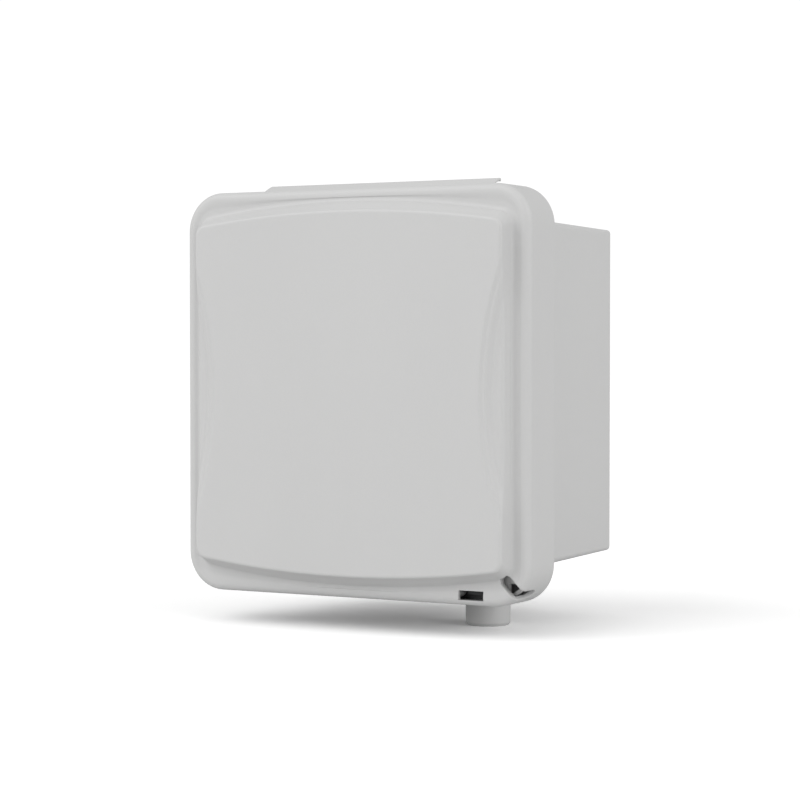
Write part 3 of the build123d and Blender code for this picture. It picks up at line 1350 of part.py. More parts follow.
earth_plate_screw = machine_screw(BRACKET_SCREW, 6, 7.4, 2.8)
with BuildPart() as earth_screw:
    with Locations(
        Location((EARTH_LUG[0], -PLATE_FRONT - EARTH_LUG_THICK, EARTH_LUG[1]), FACING_FRONT)
    ):
        add(earth_plate_screw)
save(earth_screw.part, "earth_screw")
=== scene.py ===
import json
import math

import bmesh
import bpy
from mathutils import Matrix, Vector


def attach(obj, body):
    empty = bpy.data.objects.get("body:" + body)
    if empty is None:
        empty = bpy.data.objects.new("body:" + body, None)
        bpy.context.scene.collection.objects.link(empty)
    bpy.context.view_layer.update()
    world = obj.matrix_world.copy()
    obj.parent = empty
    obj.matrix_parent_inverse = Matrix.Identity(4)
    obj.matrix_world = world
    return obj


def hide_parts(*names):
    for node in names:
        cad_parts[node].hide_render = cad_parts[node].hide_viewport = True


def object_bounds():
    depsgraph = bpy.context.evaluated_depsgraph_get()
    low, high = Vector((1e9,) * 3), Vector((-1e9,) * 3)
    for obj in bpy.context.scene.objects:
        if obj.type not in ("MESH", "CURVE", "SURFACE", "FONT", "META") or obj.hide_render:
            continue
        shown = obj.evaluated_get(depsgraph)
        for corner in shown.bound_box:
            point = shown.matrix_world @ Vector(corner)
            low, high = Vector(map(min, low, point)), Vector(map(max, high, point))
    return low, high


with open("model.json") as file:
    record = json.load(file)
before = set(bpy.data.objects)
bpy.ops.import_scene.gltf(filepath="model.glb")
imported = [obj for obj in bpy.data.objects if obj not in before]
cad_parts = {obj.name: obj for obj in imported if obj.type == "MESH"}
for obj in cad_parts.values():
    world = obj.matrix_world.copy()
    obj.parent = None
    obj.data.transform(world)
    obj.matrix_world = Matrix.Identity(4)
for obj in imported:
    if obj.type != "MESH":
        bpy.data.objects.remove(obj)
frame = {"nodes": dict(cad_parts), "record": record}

CAD_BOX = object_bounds()
NODES = frame["nodes"]
MM = 0.001

# ---------------------------------------------------------------- sizes, in millimetres
# Depth is the distance forward of the wall, so Y = -depth. An outline is given as half width,
# half height and corner radius, and a fourth number is the rise of its crowned top and bottom.
COVER = (135.0, 140.0, 27.0)
WALL = 3.0
SKIRT_BACK = 147.0
RIM = 185.0
INSIDE = RIM - WALL
RIM_EDGE = 5.0
RIM_FLAT = (129.6, 134.6, 21.6)
TROUGH = (129.0, 134.0, 21.2)
TROUGH_DEPTH = 0.5
FACE = 198.0
FACE_CROWN = 0.7
CREST = (120.3, 125.0, 7.5, 9.0)
BASE = (121.5, 130.0, 9.0, 10.5)
PANEL_EDGE = 2.4
PANEL_FOOT = 3.2
SCOOP_DEPTH = 4.1
SCOOP_HALF_HEIGHT = 92.0
SCOOP_INNER = 103.0
# The scoop goes down in three soft steps: share of the depth, where it starts, its run.
SCOOP_STEPS = ((0.25, 0.0, 3.2), (0.6, 4.0, 5.0), (0.15, 9.5, 3.0))
# The scoop's outer edge rolls off a little more, from here outward.
SCOOP_ROLL_START = 114.5
SCOOP_ROLL_RUN = 5.3
SCOOP_ROLL = 0.6
SKIRT_EDGE_OUTER = 0.8
SKIRT_EDGE_INNER = 0.5
INSIDE_CORNER = 2.0
SEAL = (112.5, 117.5, 4.0)
SEAL_RIBS = ((4.5, 2.9), (-2.9, -4.5))
SEAL_RIB_BACK = 180.0
RIB_EDGE = 0.3
# Hinge: its depth and height, its pin hole and knuckles, and the hood above it.
HINGE = (142.0, 139.3)
HINGE_BORE = 2.05
KNUCKLE = 4.2
KNUCKLES = ((12.4, 40), (62.4, 80), (-40, -12.4), (-80, -62.4))
HOOD_HALF_WIDTH = 92.0
HOOD_LEAN = 0.12
HOOD_FRONT = 158.5
HOOD_RUN = 16.5
HOOD_FOOT = 139.6
HOOD_RISE = 6.65
HOOD_TOP = 146.25
HOOD_CURL = 7.0
HOOD_HOLLOW = 5.0
SLOT_WIDTH = 8.6
SLOT_START = 165.5
SLOT_SIDESTEP = -3.5
SLOT_BACK = 164.0
SLOT_REACH = 205.0
COLLAR = 2.5
COLLAR_REACH = 181.4
COLLAR_BACK = 179.4
TOOL_SLOT = (91.5, -133.3, 18.6, 6.5)
TOOL_SLOT_CORNER = 0.35
# The two bosses behind the tool slot take the latch guide's screws.
GUIDE_BOSSES = [(TOOL_SLOT[0] + side * 13, -132.0) for side in (-1, 1)]
GUIDE_BOSS = 3.5
GUIDE_BOSS_BACK = 173.0
GUIDE_PILOT = 1.55

# Points of a quarter outline: its side, its corner and half its top.
SIDE_STEPS = 60
CORNER_STEPS = 14
TOP_STEPS = 50
# Edges that turn by more than this, in degrees, stay sharp.
SHARP = 30


# ---------------------------------------------------------------- mesh helpers
def outline(half_w, half_h, corner, drop=0.0):
    """Closed outline with crowned top and bottom, anticlockwise from +X. Every outline has the
    same number of points, so any two can be joined by quads."""
    if drop > 0:
        big = (half_w**2 + drop**2) / (2 * drop)
        low = half_h - big
        turn = low + math.sqrt((big - corner) ** 2 - (half_w - corner) ** 2)
        phi = math.atan2(turn - low, half_w - corner)
    else:
        turn, phi = half_h - corner, math.pi / 2
    quarter = [(half_w, turn * i / SIDE_STEPS) for i in range(SIDE_STEPS)]
    for i in range(CORNER_STEPS):
        a = phi * i / CORNER_STEPS
        quarter.append((half_w - corner + corner * math.cos(a), turn + corner * math.sin(a)))
    for i in range(TOP_STEPS + 1):
        t = i / TOP_STEPS
        if drop > 0:
            a = phi + (math.pi / 2 - phi) * t
            quarter.append((big * math.cos(a), low + big * math.sin(a)))
        else:
            quarter.append(((half_w - corner) * (1 - t), half_h))
    loop = list(quarter)
    loop += [(-x, z) for x, z in reversed(quarter[:-1])]
    loop += [(-x, -z) for x, z in quarter[1:]]
    loop += [(x, -z) for x, z in reversed(quarter[1:-1])]
    return loop


def mix(a, b, t):
    """Outline part-way from a to b."""
    return [(p[0] + (q[0] - p[0]) * t, p[1] + (q[1] - p[1]) * t) for p, q in zip(a, b)]


def step(t):
    """Smooth step from 0 to 1."""
    t = max(0.0, min(1.0, t))
    return t * t * (3 - 2 * t)


def level(loop, depth):
    """An outline placed at one depth, as points in metres."""
    return [Vector((x * MM, -depth * MM, z * MM)) for x, z in loop]


def place(loop, depth_at):
    """An outline placed at a depth that depends on x and z."""
    return [Vector((x * MM, -depth_at(x, z) * MM, z * MM)) for x, z in loop]


def new_object(name, bm):
    """Object from a bmesh, with outward normals."""
    bmesh.ops.recalc_face_normals(bm, faces=bm.faces)
    mesh = bpy.data.meshes.new(name)
    bm.to_mesh(mesh)
    bm.free()
    obj = bpy.data.objects.new(name, mesh)
    bpy.context.scene.collection.objects.link(obj)
    return obj


def skin(name, rings):
    """Closed surface over a row of rings, each end closed by a fan."""
    bm = bmesh.new()
    rows = [[bm.verts.new(p) for p in ring] for ring in rings]
    count = len(rings[0])
    for near, far in zip(rows, rows[1:]):
        for i in range(count):
            j = (i + 1) % count
            bm.faces.new((near[i], near[j], far[j], far[i]))
    for row in (rows[0], rows[-1]):
        middle = bm.verts.new(sum((v.co for v in row), Vector()) / count)
        for i in range(count):
            bm.faces.new((row[i], row[(i + 1) % count], middle))
    return new_object(name, bm)


def prism(name, low, high):
    """Closed solid between two matching polygons."""
    bm = bmesh.new()
    a = [bm.verts.new(p) for p in low]
    b = [bm.verts.new(p) for p in high]
    bm.faces.new(a)
    bm.faces.new(list(reversed(b)))
    for i in range(len(a)):
        j = (i + 1) % len(a)
        bm.faces.new((a[i], b[i], b[j], a[j]))
    return new_object(name, bm)


def circle(radius, steps):
    """Points of a circle as (u, v) pairs."""
    angles = [math.tau * i / steps for i in range(steps)]
    return [(radius * math.cos(a), radius * math.sin(a)) for a in angles]


def bevel(obj, width, angle, segments=3):
    """Round an object's sharp edges."""
    mod = obj.modifiers.new("bevel", "BEVEL")
    mod.width = width * MM
    mod.segments = segments
    mod.limit_method = "ANGLE"
    mod.angle_limit = math.radians(angle)
    mod.harden_normals = False


def bake(obj):
    """Apply the modifiers."""
    graph = bpy.context.evaluated_depsgraph_get()
    mesh = bpy.data.meshes.new_from_object(obj.evaluated_get(graph))
    obj.modifiers.clear()
    obj.data = mesh
    return obj


def combine(obj, others, operation):
    """Boolean of obj with each of the others, which are used up."""
    for other in others:
        mod = obj.modifiers.new("cut", "BOOLEAN")
        mod.operation = operation
        mod.object = other
        mod.solver = "MANIFOLD"
        bake(obj)
        bpy.data.objects.remove(other)
    return obj


def smooth(obj, angle):
    """Smooth shading with sharp edges kept."""
    obj.data.shade_smooth()
    obj.data.set_sharp_from_angle(angle=math.radians(angle))
    return obj


# ---------------------------------------------------------------- the cover
SCOOP_EDGE = CREST[0]
SCOOP_RADIUS = (SCOOP_HALF_HEIGHT**2 + (SCOOP_EDGE - SCOOP_INNER) ** 2) / (
    2 * (SCOOP_EDGE - SCOOP_INNER)
)


def face_depth(x, z):
    """Depth of the cover's front panel: a slightly crowned face with a scoop at each side."""
    into = SCOOP_RADIUS - math.hypot(abs(x) - SCOOP_INNER - SCOOP_RADIUS, z)
    cut = sum(share * step((into - start) / run) for share, start, run in SCOOP_STEPS)
    roll = max(0.0, (abs(x) - SCOOP_ROLL_START) / SCOOP_ROLL_RUN) ** 2
    crown = FACE_CROWN * ((x / 120) ** 2 + (z / 125) ** 2) / 2
    return FACE - crown - SCOOP_DEPTH * cut - SCOOP_ROLL * roll * cut


def panel_ring(inset):
    """Outline of the panel's face this far inside its edge."""
    shrink = (CREST[0] - inset) / CREST[0]
    return outline(
        CREST[0] - inset, CREST[1] - inset, max(CREST[2] * (1 - inset / 60), 1.2), CREST[3] * shrink
    )


def grown(size, by):
    """Outline whose half width, half height and corner are all larger by this much."""
    return outline(*(value + by for value in size[:3]), *size[3:])


def face_rings():
    """Rings of the panel's face and its rounded edge, from the middle outward."""
    insets = [112, 96, 80, 66, 54, 44, 36, 30, 26.5]
    inset = 24.5
    while inset > PANEL_EDGE + 0.3:
        insets.append(inset)
        inset -= 0.7
    insets += [PANEL_EDGE + 0.25, PANEL_EDGE]
    rings = [place(panel_ring(inset), face_depth) for inset in insets]
    for i in range(1, 8):
        a = math.pi / 2 * i / 7
        loop = panel_ring(PANEL_EDGE * (1 - math.sin(a)))
        rings.append(place(loop, lambda x, z: face_depth(x, z) - PANEL_EDGE * (1 - math.cos(a))))
    return rings


def flank_rings():
    """Rings down the panel's steep side, round its foot and over the trough to the rim."""
    rings = []
    crest, base = panel_ring(0), outline(*BASE)
    top = [face_depth(x, z) - PANEL_EDGE for x, z in crest]
    foot = RIM - TROUGH_DEPTH
    for t in (0.03, 0.3, 0.6, 0.97, 1.0):
        loop = mix(crest, base, t)
        rings.append([
            Vector((x * MM, -(high + (foot + PANEL_FOOT - high) * t) * MM, z * MM))
            for (x, z), high in zip(loop, top)
        ])
    outer_base = grown(BASE, PANEL_FOOT)
    for i in range(1, 8):
        b = math.pi / 2 * i / 7
        loop = mix(base, outer_base, 1 - math.cos(b))
        rings.append(level(loop, foot + PANEL_FOOT * (1 - math.sin(b))))
    trough = outline(*TROUGH)
    for t in (0.05, 0.25, 0.4, 0.5, 0.6, 0.7, 0.8, 0.9, 0.97):
        rings.append(level(mix(outer_base, trough, t), foot + TROUGH_DEPTH * step((t - 0.3) / 0.7)))
    return rings + [level(trough, RIM), level(outline(*RIM_FLAT), RIM)]


def skirt_rings():
    """Rings round the rim's outer edge, down the skirt, round its back edge and up inside."""
    rings = []
    for i in range(0, 10):
        a = math.pi / 2 * i / 9
        loop = grown(COVER, -RIM_EDGE * (1 - math.sin(a)))
        rings.append(level(loop, RIM - RIM_EDGE * (1 - math.cos(a))))
    for depth in (179.6, 172, 164, 156, SKIRT_BACK + 1.1, SKIRT_BACK + SKIRT_EDGE_OUTER):
        rings.append(level(outline(*COVER), depth))
    for i in range(1, 5):
        a = math.pi / 2 * i / 4
        loop = grown(COVER, -SKIRT_EDGE_OUTER * (1 - math.cos(a)))
        rings.append(level(loop, SKIRT_BACK + SKIRT_EDGE_OUTER * (1 - math.sin(a))))
    inner = tuple(value - WALL for value in COVER)
    for i in range(0, 4):
        a = math.pi / 2 * i / 3
        loop = grown(inner, SKIRT_EDGE_INNER * (1 - math.sin(a)))
        rings.append(level(loop, SKIRT_BACK + SKIRT_EDGE_INNER * (1 - math.cos(a))))
    for depth in (SKIRT_BACK + 0.8, 158, 170, INSIDE - INSIDE_CORNER - 0.3):
        rings.append(level(outline(*inner), depth))
    for i in range(0, 5):
        a = math.pi / 2 * i / 4
        loop = grown(inner, -INSIDE_CORNER * (1 - math.cos(a)))
        rings.append(level(loop, INSIDE - INSIDE_CORNER * (1 - math.sin(a))))
    return rings


def inside_rings():
    """Rings over the two ribs that hold the gasket and over the hollow behind the panel."""
    rings = []
    w, h, r = SEAL
    for outer, inner in SEAL_RIBS:
        for reach, depth in (
            (outer + 0.2, INSIDE), (outer, INSIDE), (outer, SEAL_RIB_BACK + RIB_EDGE),
            (outer - RIB_EDGE, SEAL_RIB_BACK), (inner + RIB_EDGE, SEAL_RIB_BACK),
            (inner, SEAL_RIB_BACK + RIB_EDGE), (inner, INSIDE),
        ):
            loop = outline(w + reach, h + reach, max(r + reach, 0.6))
            rings.append(level(loop, depth))
    for inset in (0.0, 0.8, 3, 5, 7, 9, 11, 13, 15, 18, 24, 34, 50, 70, 90, 102):
        reach = SEAL_RIBS[-1][-1] - inset
        loop = outline(w + reach, h + reach, 0.6)
        rings.append(place(loop, lambda x, z: face_depth(x, z) - WALL))
    return rings


def section(depth_z, x):
    """Points of a (depth, z) section at one x."""
    return [Vector((x * MM, -d * MM, z * MM)) for d, z in depth_z]


def hinge_point(radius, angle):
    """(depth, z) point round the hinge, the angle up from straight back, in degrees."""
    a = math.radians(angle)
    return (HINGE[0] - radius * math.cos(a), HINGE[1] + radius * math.sin(a))


def hood_section():
    """Side view of the hood over the hinge: a thin shell that rises out of the skirt's top,
    stands clear of it and curls over the hinge."""
    top = []
    for i in range(19):
        t = i / 18
        rise = HOOD_FOOT + HOOD_RISE * step(0.06 + t * 0.72) / step(0.78)
        top.append((HOOD_FRONT - HOOD_RUN * t, min(rise, HOOD_TOP)))
    lip = [hinge_point(HOOD_CURL, angle) for angle in (84, 76, 70)]
    under = [hinge_point(HOOD_HOLLOW, angle) for angle in range(68, 125, 8)]
    return top + lip + under + [(149, 142.3), (152, 140.9), (154.5, 139.4), (HOOD_FRONT, 138.5)]


def make_hood():
    """The hood, its ends leaning in a little."""
    low = [
        Vector((-(HOOD_HALF_WIDTH - HOOD_LEAN * (z - HINGE[1])) * MM, -d * MM, z * MM))
        for d, z in hood_section()
    ]
    high = [Vector((-p.x, p.y, p.z)) for p in low]
    hood = prism("hood", low, high)
    bevel(hood, width=0.35, angle=40)
    return bake(hood)


def knuckle(start, end):
    """One hinge knuckle and the web that ties it to the skirt and hood."""
    ring = [(HINGE[0] + u, HINGE[1] + v) for u, v in circle(KNUCKLE, 40)]
    barrel = prism("barrel", section(ring, start), section(ring, end))
    web = [
        (SKIRT_BACK + 1.5, 136.4), (SKIRT_BACK + 1.5, 139.9), (145, 144.7), (140.5, 144.7),
        (140.5, HINGE[1]), (144.6, 136.1),
    ]
    return [barrel, prism("web", section(web, start), section(web, end))]


def slot_point(u, v, depth):
    """Point on the cover's lower right diagonal: u out from the middle, v across."""
    root = math.sqrt(0.5)
    return Vector(((u + v) * root * MM, -depth * MM, (v - u) * root * MM))


def stadium(start, width, reach):
    """(u, v) outline with a round inner end at u = start."""
    half = width / 2
    points = []
    for i in range(17):
        a = math.pi / 2 + math.pi * i / 16
        points.append((start + half + half * math.cos(a), SLOT_SIDESTEP + half * math.sin(a)))
    return points + [(reach, SLOT_SIDESTEP - half), (reach, SLOT_SIDESTEP + half)]


def flat_prism(name, points, back, front):
    """Prism of (x, z) points between two depths."""
    return prism(name, level(points, back), level(points, front))


def box_points(x, z, width, height, corner):
    """(x, z) points of a rounded rectangle."""
    points = []
    for quarter, (sx, sz) in enumerate(((1, 1), (-1, 1), (-1, -1), (1, -1))):
        for i in range(5):
            a = math.pi / 2 * (quarter + i / 4)
            points.append((
                x + sx * (width / 2 - corner) + corner * math.cos(a),
                z + sz * (height / 2 - corner) + corner * math.sin(a),
            ))
    return points


def slot_prism(name, low, high):
    """Prism between two rows of (u, v, depth) points on the lower right diagonal."""
    return prism(name, [slot_point(*p) for p in low], [slot_point(*p) for p in high])


def cover_additions():
    """Hood, knuckles, guide bosses and the collar behind the corner slot."""
    added = [make_hood()]
    for start, end in KNUCKLES:
        added += knuckle(start, end)
    for x, z in GUIDE_BOSSES:
        points = [(x + u, z + v) for u, v in circle(GUIDE_BOSS, 32)]
        added.append(flat_prism("boss", points, GUIDE_BOSS_BACK, INSIDE + 0.6))
    collar = stadium(SLOT_START - COLLAR, SLOT_WIDTH + 2 * COLLAR, COLLAR_REACH)
    low = [(u, v, COLLAR_BACK) for u, v in collar]
    high = [(u, v, INSIDE + 0.4) for u, v in collar]
    return added + [slot_prism("collar", low, high)]


def cover_cuts():
    """Corner slot, tool slot, hinge bore and the guide screws' pilot holes."""
    slot = stadium(SLOT_START, SLOT_WIDTH, SLOT_REACH)
    back = SLOT_BACK + SLOT_WIDTH / 2
    end = [(SLOT_SIDESTEP + v, back + u) for u, v in circle(SLOT_WIDTH / 2, 32)]
    bore = [(HINGE[0] + u, HINGE[1] + v) for u, v in circle(HINGE_BORE, 32)]
    cuts = [
        slot_prism("slot", [(u, v, back) for u, v in slot], [(u, v, RIM + 2) for u, v in slot]),
        slot_prism("slot_end", [(SLOT_START + 4, *p) for p in end], [(SLOT_REACH, *p) for p in end]),
        flat_prism("tool_slot", box_points(*TOOL_SLOT, TOOL_SLOT_CORNER), 179, RIM + 1),
        prism("bore", section(bore, -95), section(bore, 95)),
    ]
    for x, z in GUIDE_BOSSES:
        points = [(x + u, z + v) for u, v in circle(GUIDE_PILOT, 24)]
        cuts.append(flat_prism("pilot", points, 170, 180))
    return cuts


def make_cover():
    """The whole hinged cover: one ring surface from the middle of its face, round the skirt, to
    the middle of its inside, then what stands on it and what is cut from it."""
    cover = skin("cover", face_rings() + flank_rings() + skirt_rings() + inside_rings())
    combine(cover, cover_additions(), "UNION")
    combine(cover, cover_cuts(), "DIFFERENCE")
    bevel(cover, width=0.4, angle=52, segments=2)
    return smooth(bake(cover), angle=SHARP)


# ---------------------------------------------------------------- materials
def node_material(name):
    """Empty node material: (material, node tree, shader)."""
    mat = bpy.data.materials.new(name)
    mat.use_nodes = True
    tree = mat.node_tree
    return mat, tree, tree.nodes["Principled BSDF"]


def add_node(tree, kind, **values):
    """Node with its inputs set by name."""
    node = tree.nodes.new(kind)
    for key, value in values.items():
        if key in node.inputs:
            node.inputs[key].default_value = value
        else:
            setattr(node, key, value)
    return node


def object_space(tree, scale=(1, 1, 1)):
    """Object coordinates, stretched."""
    coords = tree.nodes.new("ShaderNodeTexCoord")
    mapping = tree.nodes.new("ShaderNodeMapping")
    mapping.inputs["Scale"].default_value = scale
    tree.links.new(coords.outputs["Object"], mapping.inputs["Vector"])
    return mapping.outputs["Vector"]


def noise(tree, vector, scale, detail=3.0, rough=0.5):
    """Noise value."""
    node = add_node(tree, "ShaderNodeTexNoise", Scale=scale, Detail=detail, Roughness=rough)
    tree.links.new(vector, node.inputs["Vector"])
    return node.outputs["Fac"]


def ramp(tree, value, low, high, start=0.3, end=0.7):
    """Colour between low and high as value goes from start to end."""
    node = tree.nodes.new("ShaderNodeValToRGB")
    node.color_ramp.elements[0].position = start
    node.color_ramp.elements[1].position = end
    node.color_ramp.elements[0].color = (*low, 1)
    node.color_ramp.elements[1].color = (*high, 1)
    tree.links.new(value, node.inputs["Fac"])
    return node.outputs["Color"]


def span(tree, value, low, high, start=0.3, end=0.7):
    """Number between low and high as value goes from start to end."""
    node = add_node(tree, "ShaderNodeMapRange")
    node.inputs["From Min"].default_value = start
    node.inputs["From Max"].default_value = end
    node.inputs["To Min"].default_value = low
    node.inputs["To Max"].default_value = high
    tree.links.new(value, node.inputs["Value"])
    return node.outputs["Result"]


def bump(tree, shader, value, strength, distance, below=None):
    """Bump from a value, stacked on another bump."""
    node = add_node(tree, "ShaderNodeBump", Strength=strength, Distance=distance)
    tree.links.new(value, node.inputs["Height"])
    if below is not None:
        tree.links.new(below, node.inputs["Normal"])
    tree.links.new(node.outputs["Normal"], shader.inputs["Normal"])
    return node.outputs["Normal"]


def shade(colour, factor):
    """Colour made lighter or darker."""
    return tuple(c * factor for c in colour)


def moulded(name, colour, rough, grain=2600, grain_bump=0.12, sway=0.03, flow=(1, 1, 1)):
    """Moulded plastic: fine spark-eroded grain, faint flow in the colour and gloss."""
    mat, tree, shader = node_material(name)
    vector = object_space(tree)
    slow = noise(tree, object_space(tree, flow), 9, 4, 0.55)
    fine = noise(tree, vector, grain, 2, 0.6)
    base = ramp(tree, slow, shade(colour, 1 - sway), shade(colour, 1 + sway))
    speck = add_node(tree, "ShaderNodeMix", data_type="RGBA", blend_type="MULTIPLY")
    speck.inputs["Factor"].default_value = 1.0
    tree.links.new(base, speck.inputs["A"])
    tree.links.new(
        ramp(tree, fine, (0.97, 0.97, 0.97), (1.0, 1.0, 1.0), 0.35, 0.6), speck.inputs["B"]
    )
    tree.links.new(speck.outputs["Result"], shader.inputs["Base Color"])
    tree.links.new(span(tree, slow, rough * 0.9, rough * 1.12), shader.inputs["Roughness"])
    shader.inputs["Specular IOR Level"].default_value = 0.42
    wave = bump(tree, shader, noise(tree, vector, 22, 2, 0.4), 0.05, 0.001)
    bump(tree, shader, fine, grain_bump, 0.00012, wave)
    return mat


def metal(name, colour, rough, brush=(1, 1, 1), strength=0.15, patchy=0.12):
    """Worked metal: brushed along one way, with a patchy oxide or plating tone."""
    mat, tree, shader = node_material(name)
    lines = noise(tree, object_space(tree, brush), 900, 3, 0.6)
    patches = noise(tree, object_space(tree), 60, 5, 0.6)
    tree.links.new(
        ramp(tree, patches, shade(colour, 1 - patchy), shade(colour, 1 + patchy * 0.4)),
        shader.inputs["Base Color"],
    )
    shader.inputs["Metallic"].default_value = 1.0
    tree.links.new(span(tree, lines, rough * 0.75, rough * 1.3), shader.inputs["Roughness"])
    bump(tree, shader, lines, strength, 0.00008)
    return mat


def plated_sheet(name, colour):
    """Zinc-plated sheet with crystal spangle."""
    mat, tree, shader = node_material(name)
    vector = object_space(tree)
    cells = add_node(tree, "ShaderNodeTexVoronoi", Scale=170.0)
    tree.links.new(vector, cells.inputs["Vector"])
    tone = add_node(tree, "ShaderNodeSeparateColor")
    tree.links.new(cells.outputs["Color"], tone.inputs["Color"])
    tree.links.new(
        ramp(tree, tone.outputs["Red"], shade(colour, 0.86), shade(colour, 1.06), 0.0, 1.0),
        shader.inputs["Base Color"],
    )
    shader.inputs["Metallic"].default_value = 0.9
    tree.links.new(span(tree, tone.outputs["Green"], 0.32, 0.5, 0, 1), shader.inputs["Roughness"])
    bump(tree, shader, noise(tree, vector, 900, 3, 0.6), 0.1, 0.00005)
    return mat


def foam(name, colour):
    """Closed-cell foam or soft rubber: pitted and matt, with painted shade in the pits."""
    mat, tree, shader = node_material(name)
    vector = object_space(tree)
    pits = add_node(tree, "ShaderNodeTexVoronoi", Scale=1500.0)
    tree.links.new(vector, pits.inputs["Vector"])
    # Painted shade: the colour darkens towards the bottom of each pit and lightens on the ridges
    # between them, in step with the bump.
    tree.links.new(
        ramp(tree, pits.outputs["Distance"], shade(colour, 0.6), shade(colour, 1.3), 0.1, 0.6),
        shader.inputs["Base Color"],
    )
    shader.inputs["Roughness"].default_value = 0.82
    bump(tree, shader, pits.outputs["Distance"], 0.35, 0.0002)
    return mat


def circuit_board(name):
    """Solder mask over etched copper, with glass weave showing faintly."""
    mat, tree, shader = node_material(name)
    vector = object_space(tree)
    weave = add_node(tree, "ShaderNodeTexBrick", Scale=260.0)
    weave.inputs["Color1"].default_value = (0.012, 0.11, 0.045, 1)
    weave.inputs["Color2"].default_value = (0.016, 0.15, 0.06, 1)
    weave.inputs["Mortar"].default_value = (0.01, 0.08, 0.035, 1)
    tree.links.new(vector, weave.inputs["Vector"])
    tree.links.new(weave.outputs["Color"], shader.inputs["Base Color"])
    tree.links.new(span(tree, noise(tree, vector, 300), 0.18, 0.32), shader.inputs["Roughness"])
    bump(tree, shader, noise(tree, vector, 900), 0.1, 0.00005)
    return mat


def cable(name, colour):
    """Extruded jacket: faint lengthwise draw marks and a soft sheen."""
    mat, tree, shader = node_material(name)
    marks = noise(tree, object_space(tree, (1, 1, 0.12)), 1400, 3, 0.6)
    scuff = noise(tree, object_space(tree), 140, 5, 0.7)
    tree.links.new(
        ramp(tree, scuff, shade(colour, 0.8), shade(colour, 1.5), 0.35, 0.75),
        shader.inputs["Base Color"],
    )
    tree.links.new(span(tree, scuff, 0.38, 0.58), shader.inputs["Roughness"])
    bump(tree, shader, marks, 0.15, 0.0001)
    return mat


SHELL = (0.6, 0.6, 0.597)
MATERIALS = {
    "shell": moulded("shell_plastic", SHELL, 0.42, sway=0.012, flow=(1, 1, 0.35)),
    "hub_plastic": moulded("hub_plastic", shade(SHELL, 0.97), 0.45, sway=0.03),
    "steel": plated_sheet("plated_steel", (0.62, 0.63, 0.64)),
    "fastener": metal("stainless", (0.66, 0.65, 0.63), 0.28, strength=0.1),
    "spring_wire": metal("spring_wire", (0.55, 0.54, 0.52), 0.3),
    "element": metal("drawn_aluminium", (0.78, 0.79, 0.8), 0.3, (1, 1, 0.02), 0.2, 0.06),
    "boom_tube": metal("drawn_tube", (0.76, 0.77, 0.78), 0.32, (1, 0.02, 1), 0.2, 0.06),
    "bracket": metal("cast_aluminium", (0.6, 0.61, 0.62), 0.48, strength=0.4),
    "black_plastic": moulded("black_nylon", (0.022, 0.022, 0.024), 0.45, sway=0.15),
    "feed_plastic": moulded("grey_nylon", (0.06, 0.062, 0.066), 0.4, sway=0.1),
    "seal": foam("seal_rubber", (0.022, 0.022, 0.022)),
    "nickel": metal("nickel_plate", (0.72, 0.69, 0.62), 0.18, strength=0.08),
    "brass": metal("gold_flash", (0.85, 0.62, 0.26), 0.2, strength=0.08),
    "white_plastic": moulded("white_fluoropolymer", (0.8, 0.79, 0.75), 0.35, sway=0.03),
    "board": circuit_board("circuit_board"),
    "ferrite": moulded("ferrite", (0.05, 0.05, 0.055), 0.55, 1400, 0.4, 0.2),
    "coax_jacket": cable("coax_jacket", (0.02, 0.02, 0.02)),
    "earth_jacket": cable("earth_jacket", (0.03, 0.2, 0.04)),
}


def dress(obj, slot_name):
    """Give an object its material."""
    obj.data.materials.clear()
    obj.data.materials.append(MATERIALS[slot_name])


def smooth_group(angle):
    """Modifier node group that smooths a mesh, leaving edges over this angle sharp."""
    group = bpy.data.node_groups.new("smooth_by_angle", "GeometryNodeTree")
    group.interface.new_socket("Geometry", in_out="INPUT", socket_type="NodeSocketGeometry")
    group.interface.new_socket("Geometry", in_out="OUTPUT", socket_type="NodeSocketGeometry")
    start = group.nodes.new("NodeGroupInput")
    end = group.nodes.new("NodeGroupOutput")
    faces = add_node(group, "GeometryNodeSetShadeSmooth", domain="FACE")
    edges = add_node(group, "GeometryNodeSetShadeSmooth", domain="EDGE")
    edges.inputs["Shade Smooth"].default_value = False
    bend = group.nodes.new("GeometryNodeInputMeshEdgeAngle")
    over = add_node(group, "FunctionNodeCompare", data_type="FLOAT", operation="GREATER_THAN")
    over.inputs["B"].default_value = math.radians(angle)
    group.links.new(bend.outputs["Unsigned Angle"], over.inputs["A"])
    group.links.new(over.outputs["Result"], edges.inputs["Selection"])
    group.links.new(start.outputs[0], faces.inputs["Geometry"])
    group.links.new(faces.outputs[0], edges.inputs["Geometry"])
    group.links.new(edges.outputs[0], end.inputs[0])
    return group


SMOOTH = smooth_group(SHARP)


def finish_node(obj):
    """Join a CAD node's faces and smooth it."""
    weld = obj.modifiers.new("weld", "WELD")
    weld.merge_threshold = 0.01 * MM
    obj.modifiers.new("smooth", "NODES").node_group = SMOOTH


SLOT_OF = {part["node"]: part["material_slot"] for part in frame["record"]["subparts"]}
for node, obj in NODES.items():
    dress(obj, "boom_tube" if node == "boom" else SLOT_OF[node])
    finish_node(obj)

cover = make_cover()
cover.name = "hinged_cover"
dress(cover, "shell")
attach(cover, "door")
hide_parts("door")


# ---------------------------------------------------------------- stage, light and camera
FLOOR_BOUNCE = 0.7
WORLD_LIGHT = 0.59
WORLD_SEEN = 1.05


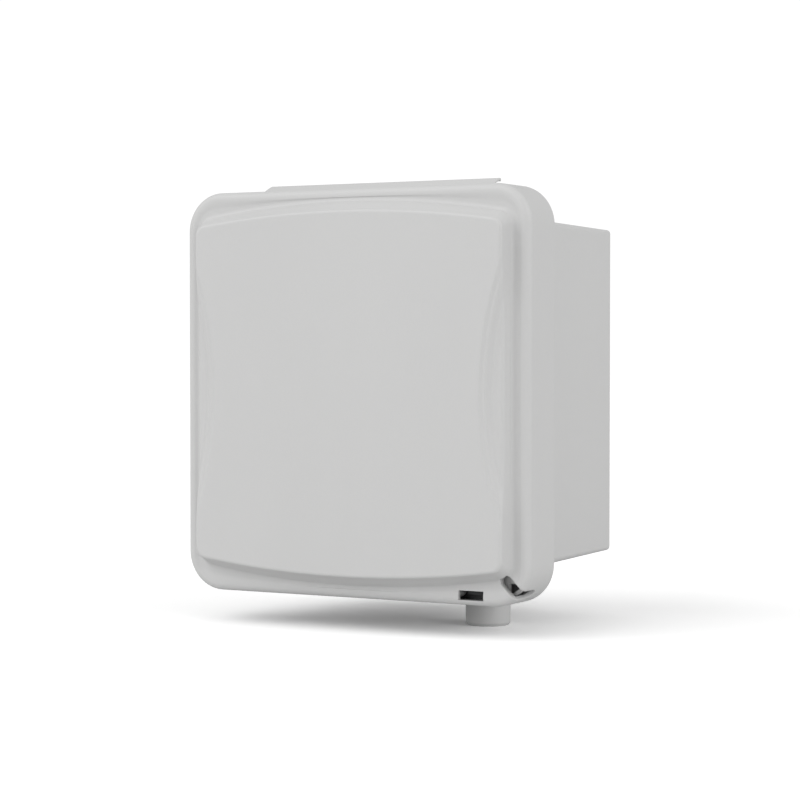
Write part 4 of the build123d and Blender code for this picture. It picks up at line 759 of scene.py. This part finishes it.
def make_floor():
    """Plain pale floor. It looks white but throws less light back than it seems to."""
    mesh = bpy.data.meshes.new("floor")
    bottom = CAD_BOX[0].z
    points = [(-4, -6, bottom), (4, -6, bottom), (4, 8, bottom), (-4, 8, bottom)]
    mesh.from_pydata(points, [], [(0, 1, 2, 3)])
    floor = bpy.data.objects.new("floor", mesh)
    bpy.context.scene.collection.objects.link(floor)
    mat, tree, shader = node_material("floor_paper")
    path = tree.nodes.new("ShaderNodeLightPath")
    paper = add_node(tree, "ShaderNodeMix", data_type="RGBA")
    paper.inputs["A"].default_value = (FLOOR_BOUNCE, FLOOR_BOUNCE, FLOOR_BOUNCE, 1)
    tree.links.new(path.outputs["Is Camera Ray"], paper.inputs["Factor"])
    tree.links.new(
        ramp(tree, noise(tree, object_space(tree), 3), (1.27, 1.27, 1.27), (1.29, 1.29, 1.29)),
        paper.inputs["B"],
    )
    tree.links.new(paper.outputs["Result"], shader.inputs["Base Color"])
    shader.inputs["Roughness"].default_value = 0.9
    shader.inputs["Specular IOR Level"].default_value = 0.1
    floor.data.materials.append(mat)


def add_sun(name, toward, strength, softness):
    """Broad, even light from one direction; strength is what it adds to a white surface that
    faces it."""
    data = bpy.data.lights.new(name, "SUN")
    data.energy = strength * math.pi
    data.angle = math.radians(softness)
    obj = bpy.data.objects.new(name, data)
    obj.rotation_euler = (-Vector(toward)).to_track_quat("-Z", "Y").to_euler()
    bpy.context.scene.collection.objects.link(obj)


def make_world(strength):
    """Even white surroundings."""
    world = bpy.data.worlds.new("surroundings")
    world.use_nodes = True
    tree = world.node_tree
    back = tree.nodes["Background"]
    back.inputs["Color"].default_value = (1, 1, 1, 1)
    path = tree.nodes.new("ShaderNodeLightPath")
    seen = add_node(tree, "ShaderNodeMapRange")
    seen.inputs["To Min"].default_value = strength
    seen.inputs["To Max"].default_value = WORLD_SEEN
    tree.links.new(path.outputs["Is Camera Ray"], seen.inputs["Value"])
    tree.links.new(seen.outputs["Result"], back.inputs["Strength"])
    bpy.context.scene.world = world


def make_camera():
    """The viewing angle: a long lens from the right of the front."""
    data = bpy.data.cameras.new("camera")
    data.sensor_width = 36
    data.lens = 102.9
    data.clip_start = 0.05
    camera = bpy.data.objects.new("camera", data)
    camera.location = (0.7864, -1.5304, 0.0350)
    forward = Vector((-0.48602, 0.87358, -0.02526))
    camera.rotation_euler = forward.to_track_quat("-Z", "Y").to_euler()
    bpy.context.scene.collection.objects.link(camera)
    bpy.context.scene.camera = camera


make_floor()
make_world(WORLD_LIGHT)
add_sun("key", (-0.54, -0.66, 0.52), 0.45, 70)
add_sun("fill", (0.91, -0.14, 0.39), 0.32, 45)
make_camera()
bpy.context.scene.view_settings.view_transform = "Standard"
